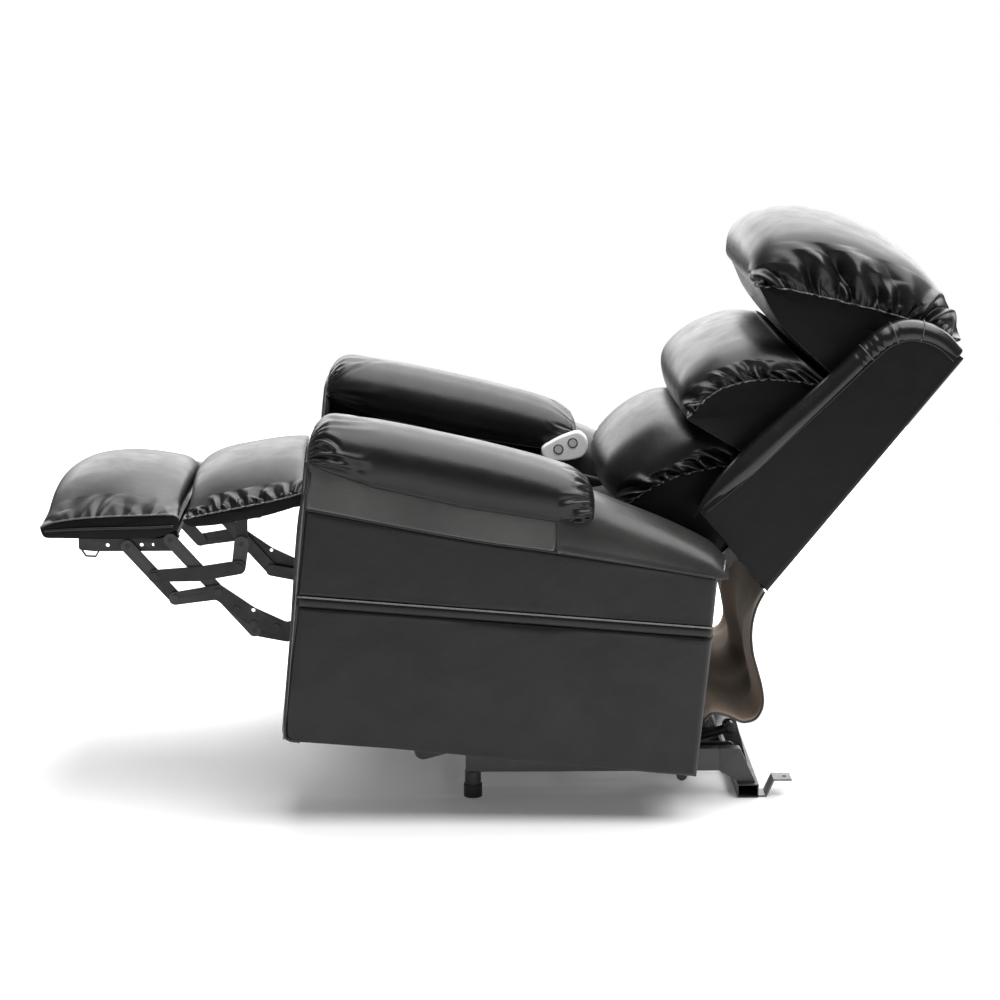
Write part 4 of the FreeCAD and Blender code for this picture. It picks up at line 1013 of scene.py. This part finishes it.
def make_arm_rolls():
    """The thick roll over each arm, gathered round the arm's front and, more lightly, at its rear."""
    top_line = spline([(-0.353, 0.716), (-0.324, 0.748), (-0.240, 0.742), (-0.097, 0.713), (0.000, 0.690),
                       (0.102, 0.661), (0.150, 0.640)], 200)
    stations = np.concatenate([np.linspace(0, 0.10, 12)[:-1], np.linspace(0.10, 0.86, 32)[:-1],
                               np.linspace(0.86, 1, 12)])
    front_y, rear_y = -0.350, 0.160
    rings = []
    for share in stations:
        y = front_y + share * (rear_y - front_y)
        top = np.interp(y, *top_line.T)
        seam = np.interp(y, *zip(*ROLL_SEAM))
        close = min(1.0, rounded((y - front_y) / 0.042), rounded((rear_y - y) / 0.046))
        pinch = 0.84 + 0.16 * close
        lift = 0.66 + 0.34 * close
        rings.append(arm_section(y, seam, top, pinch, lift))
    roll = outward(loft("arm_pad_left", rings, caps=(4, 4), bulge=(0.004, 0.008)))
    swell(roll, pressure=2.5, cap=0.004)
    refine(roll, 2)
    points, grid, facing = sleeve(roll)
    count, ring, _ = grid.shape
    along = travelled(grid[count // 2])
    away = grid[:, :, 1] - front_y
    rear = rear_y - grid[:, :, 1]
    index = np.arange(ring)
    last = 144  # the ring's last point before its flat underside
    shown = smooth(-1, 6, index) * (1 - smooth(last - 8, last, index))
    low_side = 0.35 + 0.65 * (1 - smooth(0.03, 0.16, along))
    # Creases slant back and up from the front seam, as the leather is pulled down into it.
    slanted = np.tile(along, (count, 1)) + away * 0.35
    folds = pleats(5, along[last], spacing=0.030, depth=0.0050, reach=0.115)
    push = gathered(slanted, away - 0.004, folds) * low_side
    folds = pleats(6, along[last], spacing=0.0105, depth=0.0012, reach=0.022)
    push += gathered(slanted, away - 0.002, folds)
    folds = pleats(9, along[last], spacing=0.024, depth=0.0050, reach=0.065)
    push += gathered(np.tile(along, (count, 1)) + rear * 0.25, rear - 0.004, folds) * low_side
    grid += facing * (push * shown)[:, :, None]
    set_coordinates(roll, points)
    both_sides(roll, "chair_frame", ["arm_roll"], LEATHER)


def make_bolsters():
    """The lower cushion behind each arm roll, which runs down to the arm's rear end. Its leather is paler as
    painted light.
    """
    top_line = spline([(0.088, 0.628), (0.154, 0.610), (0.225, 0.582), (0.308, 0.547), (0.372, 0.514),
                       (0.404, 0.492)], 160)
    base_line = spline([(0.088, 0.517), (0.384, 0.467), (0.410, 0.464)], 60)
    front_y, rear_y = 0.094, 0.404
    inner = 0.263
    rings = []
    for share in np.concatenate([np.linspace(0, 0.86, 26)[:-1], np.linspace(0.86, 1, 10)]):
        y = front_y + share * (rear_y - front_y)
        top = np.interp(y, *top_line.T)
        base = np.interp(y, *base_line.T) - 0.002
        close = rounded((0.4045 - y) / 0.030)
        height = (top - base) * (0.50 + 0.50 * close)
        outer = SIDE_X + 0.001 - 0.010 * (1 - close)
        points = []
        for angle in np.linspace(0, math.pi, 30):
            x = (outer + inner) / 2 + (outer - inner) / 2 * squarish(math.cos(angle), 2.9)
            points.append((x, y, base + height * abs(squarish(math.sin(angle), 2.1))))
        rings.append([*points, *spread([points[-1], points[0]], 10)[1:-1]])
    bolster = outward(loft("rear_arm_bolster_left", rings, caps=(4, 4), bulge=(0.0, 0.004)))
    swell(bolster, pressure=2.0, cap=0.003)
    refine(bolster, 2)
    both_sides(bolster, "chair_frame", ["arm_bolster"], LEATHER_PAINTED_LIGHT)
    # The pale seam is a painted highlight.
    arm_line("bolster_end_seam", [(SIDE_X - 0.004, 0.392, 0.464), (SIDE_X - 0.010, 0.396, 0.480),
                                  (SIDE_X - 0.03, 0.400, 0.492)], 0.0016, PIPING_PAINTED_HIGHLIGHT)


# ---------------------------------------------------------------- backrest shell and wings

# The wing's roll in back coordinates: along, forward, radius. It starts as a point beside the lower
# pillow, swells, and turns over the top of the wing to the rear corner.
WING_ROLL = [(0.026, 0.187, 0.003), (0.052, 0.186, 0.010), (0.100, 0.182, 0.0190), (0.160, 0.175, 0.0245),
             (0.240, 0.165, 0.0240), (0.330, 0.151, 0.0215), (0.400, 0.142, 0.0205), (0.460, 0.135, 0.0210),
             (0.500, 0.127, 0.0220), (0.529, 0.109, 0.0225), (0.548, 0.080, 0.0215), (0.556, 0.045, 0.0190),
             (0.553, 0.008, 0.0165)]
SLANT = 0.19
WING_SIDES = (0.2655, 0.3225)
ROLL_X = 0.3035
ROLL_WIDTH = 1.12


def roll_ring(station, step, radius, count):
    """A ring round the wing's roll at a station of its middle line, a little wider than it is deep."""
    (along, forward, _), (step_s, step_q) = station, step
    ring = []
    for k in range(count):
        angle = 2 * math.pi * k / count
        out = radius * math.cos(angle)
        ring.append((ROLL_X + radius * ROLL_WIDTH * math.sin(angle),
                     *on_back(along - step_q * out, forward + step_s * out)))
    return ring


def make_wing_boards():
    """Each wing is a padded board beside the back pillows. Its leather is darker as painted shade."""
    rings = []
    low, high = WING_SIDES
    roll = spline([(along, forward) for along, forward, _ in WING_ROLL], 60)
    for share in np.concatenate([np.linspace(0, 0.03, 5)[:-1], np.linspace(0.03, 0.90, 40)[:-1],
                                 np.linspace(0.90, 1, 12)]):
        along = 0.004 + 0.554 * share
        depth = np.interp(min(along, 0.5605), *roll.T) if along > 0.03 else 0.187
        close = rounded((1 - share) / 0.02)
        section = np.vstack([
            spread([(high - 0.003, -0.0035), (high, 0.000), (high, depth - 0.004)], 26)[:-1],
            spread([(high, depth - 0.004), (high - 0.006, depth), (low + 0.006, depth),
                    (low, depth - 0.006)], 12)[:-1],
            spread([(low, depth - 0.006), (low, 0.002), (low + 0.004, -0.0035)], 18)[:-1],
            spread([(low + 0.004, -0.0035), (high - 0.003, -0.0035)], 10)[:-1]])
        middle = np.array([0.294, section[:, 1].mean()])
        section = middle + (section - middle) * np.array([0.88 + 0.12 * close, 1.0])
        rings.append([(x, *on_back(along + SLANT * q * (1 - share), q)) for x, q in section])
    wing = outward(loft("back_wing_cover_left", rings, caps=(3, 3), bulge=(0.001, 0.002)))
    refine(wing)
    both_sides(wing, "backrest", ["back_wing"], LEATHER_WING_PAINTED_SHADE)


def make_wing_rolls():
    """The thick roll sewn round each wing's front and upper edges, with the seams beside and across it."""
    line = spline(WING_ROLL, 64)
    way = directions(line[:, :2])
    rings = [roll_ring(station, step, station[2], 28) for station, step in zip(line, way)]
    roll = outward(loft("wing_roll_left", rings, caps=(3, 4), bulge=(0.002, 0.006)))
    swell(roll, pressure=2.0, cap=0.002)
    refine(roll, 2)
    points, grid, facing = sleeve(roll)
    count, ring, _ = grid.shape
    reached = travelled(grid.mean(1))
    rng = random.Random(3)
    push = np.zeros((count, ring))
    # The leather is drawn together where the roll turns over the wing's top.
    for at in np.linspace(reached[-1] - 0.205, reached[-1] - 0.125, 7):
        wander = 0.004 * np.sin(np.linspace(0, 2 * math.pi, ring) + rng.uniform(0, 6))
        offset = reached[:, None] - at - wander[None, :]
        under = 0.5 + 0.5 * np.sin(np.linspace(0, 2 * math.pi, ring, endpoint=False) - 0.4)[None, :]
        push -= 0.0018 * under * np.exp(-(offset / 0.0035) ** 2)
    grid += facing * push[:, :, None]
    set_coordinates(roll, points)
    both_sides(roll, "backrest", (), LEATHER_ROLL)

    groove = []
    for (along, forward, radius), (step_s, step_q) in zip(line, way):
        inward = radius * 0.62
        groove.append((WING_SIDES[1] + 0.0015, *on_back(along + step_q * inward, forward - step_s * inward)))
    both_sides(tube("wing_side_seam_left", groove[2:], 0.0014), "backrest", (), LEATHER_FLAT)
    # The cross seams are paler: painted highlights.
    for number, (at, thick) in enumerate(((44, 0.0015), (50, 0.0013), (55, 0.0015))):
        path = roll_ring(line[at], way[at], line[at][2] + 0.0006, 36)
        seam = tube(f"wing_cross_seam_{number}_left", path, thick, closed=True)
        both_sides(seam, "backrest", (), LEATHER_PAINTED_LIGHT)


def make_back_shell():
    """The padded rear face of the backrest, with piping round it."""
    v, u = unit_grid(70, 70)
    u = 2 * u - 1
    half, foot, height = 0.3195, 0.003, 0.546
    rim = np.minimum(1 - abs(u), 2 * np.minimum(v, 1 - v))
    depth = 0.006 * (1 - smooth(0, 0.05, rim)) - 0.004 * smooth(0, 0.10, rim)
    outer, inner = (np.dstack([half * u, *on_back(foot + height * v, at)]) for at in (depth, 0.012))
    shell = closed_sheet("back_cover", outer, inner)
    upholster(shell, "backrest", (), LEATHER_FLAT)
    rim = list(outer[:, 0]) + list(outer[-1]) + list(outer[::-1, -1])
    upholster(tube("back_cover_piping", spread(rim, 240), 0.0026), "backrest", (), LEATHER)
    dress(NODES["back_shell"], LEATHER)


# ---------------------------------------------------------------- rear flap

FLAP_PATH = [(0.480, 0.418), (0.470, 0.385), (0.466, 0.345), (0.470, 0.305), (0.482, 0.262), (0.491, 0.225),
             (0.490, 0.192), (0.474, 0.167), (0.444, 0.160), (0.414, 0.175), (0.390, 0.183), (0.373, 0.172)]


def make_flap():
    """The loose cloth from the foot of the backrest to the frame's rear edge: tan inside, black outside."""
    half, thick = 0.338, 0.0018
    rows, across = 80, 96
    v, u = unit_grid(rows, across)
    u = 2 * u - 1
    line = spline(FLAP_PATH, rows)
    way = directions(line)
    out = np.column_stack([-way[:, 1], way[:, 0]])
    # It hangs free between its two sewn edges: waves, a sag at its middle and a curl at its sides.
    hang = np.sin(math.pi * v)
    wave = 0.010 * np.sin(5.2 * u + 1.1) + 0.006 * np.sin(11.0 * u + 0.6 + 2.0 * hang)
    push = hang * (wave - 0.012 * (1 - u * u) - 0.016 * smooth(0.90, 1.0, abs(u)))
    layers = []
    for depth in (0.0, thick):
        section = line[:, None] + out[:, None] * (push - depth)[:, :, None]
        layers.append(np.dstack([half * u, section]))
    flap = closed_sheet("rear_flap_cloth", *layers)
    # The sheet's faces come in pairs, one of its outer side and one of its inner side.
    looks = np.zeros(len(flap.data.polygons), int)
    looks[1:2 * (rows - 1) * (across - 1):2] = 1
    flap.data.materials.append(FLAP_OUT)
    flap.data.materials.append(FLAP_IN)
    flap.data.polygons.foreach_set("material_index", looks)
    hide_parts("rear_flap")
    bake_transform(flap)
    for label, path in (("right", layers[0][:, 0]), ("left", layers[0][:, -1])):
        trim = dress(tube(f"flap_edge_{label}", spread(path, 90), 0.0024), FLAP_OUT)
        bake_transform(trim)


# ---------------------------------------------------------------- handset

def make_handset():
    """The handset on the far arm's inner face, and a ring round each of its keys."""
    outline = spline([(0.094, 0.556), (0.090, 0.575), (0.108, 0.589), (0.140, 0.604), (0.166, 0.610),
                      (0.182, 0.596), (0.183, 0.572), (0.174, 0.558), (0.130, 0.549)], 90, closed=True)
    middle = outline.mean(0)
    rings = []
    for x, keep in ((-0.2635, 0.90), (-0.2615, 0.965), (-0.257, 1.0), (-0.248, 1.0), (-0.2435, 0.975),
                    (-0.2412, 0.93)):
        section = middle + (outline - middle) * keep
        rings.append(np.column_stack([np.full(len(section), x), section]))
    case = outward(loft("handset_case", rings, caps=(4, 4), bulge=(0.0006, 0.0006)))
    refine(case)
    upholster(case, "chair_frame", ["handset"], HANDSET)
    round_key = 0.0092
    for number, key in enumerate(("raise_button", "lower_button")):
        low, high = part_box(key)
        centre = (low + high) / 2
        angle = np.linspace(0, 2 * math.pi, 40, endpoint=False)
        path = [(-0.2406, centre.y + round_key * math.cos(a), centre.z + round_key * math.sin(a))
                for a in angle]
        ring = tube(f"button_ring_{number}", path, 0.0014, closed=True)
        upholster(ring, "chair_frame", (), RING)


# ---------------------------------------------------------------- linings seen between the cushions

def make_linings():
    """Leather that lines each arm's inner face, and cloth behind the seat cushion."""
    low = [(-0.386, 0.430), (0.360, 0.380)]
    high = [(-0.350, 0.610), (-0.056, 0.560), (0.090, 0.540), (0.372, 0.470)]
    grid = patch(low, high, [low[0], high[0]], [low[1], high[3]], 80, 16)
    inner = slab("arm_inner_lining_right", grid, -0.2595, thick=0.002, edge=0.0015,
                 relief=fold_relief(13, 0.001))
    for piece in (inner, flipped(inner, "arm_inner_lining_left")):
        upholster(piece, "chair_frame", (), LEATHER_FLAT)
    path = spline([(0.050, 0.560), (0.085, 0.520), (0.130, 0.500), (0.200, 0.500), (0.270, 0.520)], 24)
    across = np.linspace(-0.235, 0.235, 30)
    face = np.array([[(x, y, z + 0.004 * math.sin(9 * x)) for x in across] for y, z in path])
    cloth_behind = closed_sheet("seat_back_lining", face, face - np.array([0, 0, 0.003]))
    upholster(cloth_behind, None, (), LINING)
    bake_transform(cloth_behind)


# ---------------------------------------------------------------- room

def make_room():
    """A pale floor, white surroundings and two soft lamps."""
    half, drop = 3.6, -0.0005
    floor = mesh_object("floor", [(-half, -half, drop), (half, -half, drop), (half, half, drop),
                                  (-half, half, drop)], [(0, 1, 2, 3)], False)
    made, tree, shader, place = material("pale_floor")
    speck = noise_node(tree, place, 3.0, 2.0)
    vary(tree, shader, "Base Color", speck, (0.2, (0.90, 0.90, 0.90, 1)), (0.8, (0.93, 0.93, 0.93, 1)))
    give(shader, {"Roughness": 0.85, "Emission Color": (1, 1, 1, 1), "Emission Strength": 0.09})
    dress(floor, made)
    world = bpy.data.worlds.new("studio")
    SCENE.world = world
    world.use_nodes = True
    tree = world.node_tree
    dim = tree.nodes["Background"]
    give(dim, {"Color": (1, 1, 1, 1), "Strength": 0.22})
    white = add(tree, "ShaderNodeBackground", Color=(1, 1, 1, 1), Strength=1.0)
    seen = tree.nodes.new("ShaderNodeLightPath")
    mixed = tree.nodes.new("ShaderNodeMixShader")
    tree.links.new(seen.outputs["Is Camera Ray"], mixed.inputs["Fac"])
    tree.links.new(dim.outputs["Background"], mixed.inputs[1])
    tree.links.new(white.outputs["Background"], mixed.inputs[2])
    tree.links.new(mixed.outputs["Shader"], tree.nodes["World Output"].inputs["Surface"])
    lamp("overhead", (-0.2, 1.4, 4.1), aim=(-0.2, 1.0, 0), wide=6.0, deep=5.0, power=490)
    lamp("rear_wall", (-3.8, 0.4, 2.7), aim=(0, 0.1, 0.7), wide=7.0, deep=4.2, power=265)


def lamp(name, place, aim, wide, deep, power):
    """A soft rectangular lamp that points at a place."""
    light = bpy.data.lights.new(name, "AREA")
    light.shape = "RECTANGLE"
    light.size = wide
    light.size_y = deep
    light.energy = power
    obj = bpy.data.objects.new(name, light)
    obj.location = place
    obj.rotation_euler = (Vector(aim) - Vector(place)).to_track_quat("-Z", "Y").to_euler()
    SCENE.collection.objects.link(obj)


def make_camera():
    """The photograph's camera: beside the chair, 12 degrees above it, nearly square to its side."""
    camera = bpy.data.cameras.new("view")
    camera.lens = 91.5
    camera.sensor_width = 36.0
    obj = bpy.data.objects.new("view", camera)
    target = Vector((0, 0, 0.52))
    pitch, yaw, distance = math.radians(12.1), math.radians(1.08), 4.97
    away = Vector((math.cos(pitch) * math.cos(yaw), -math.cos(pitch) * math.sin(yaw), math.sin(pitch)))
    obj.location = target + away * distance
    obj.rotation_euler = (-away).to_track_quat("-Z", "Y").to_euler()
    SCENE.collection.objects.link(obj)
    SCENE.camera = obj
    SCENE.view_settings.view_transform = "Standard"


make_camera()
make_room()
make_pillows()
make_seat()
make_legrest()
make_side_panels()
make_front_panels()
make_rear_ends()
make_arm_rolls()
make_bolsters()
make_wing_boards()
make_wing_rolls()
make_back_shell()
make_flap()
make_handset()
make_linings()
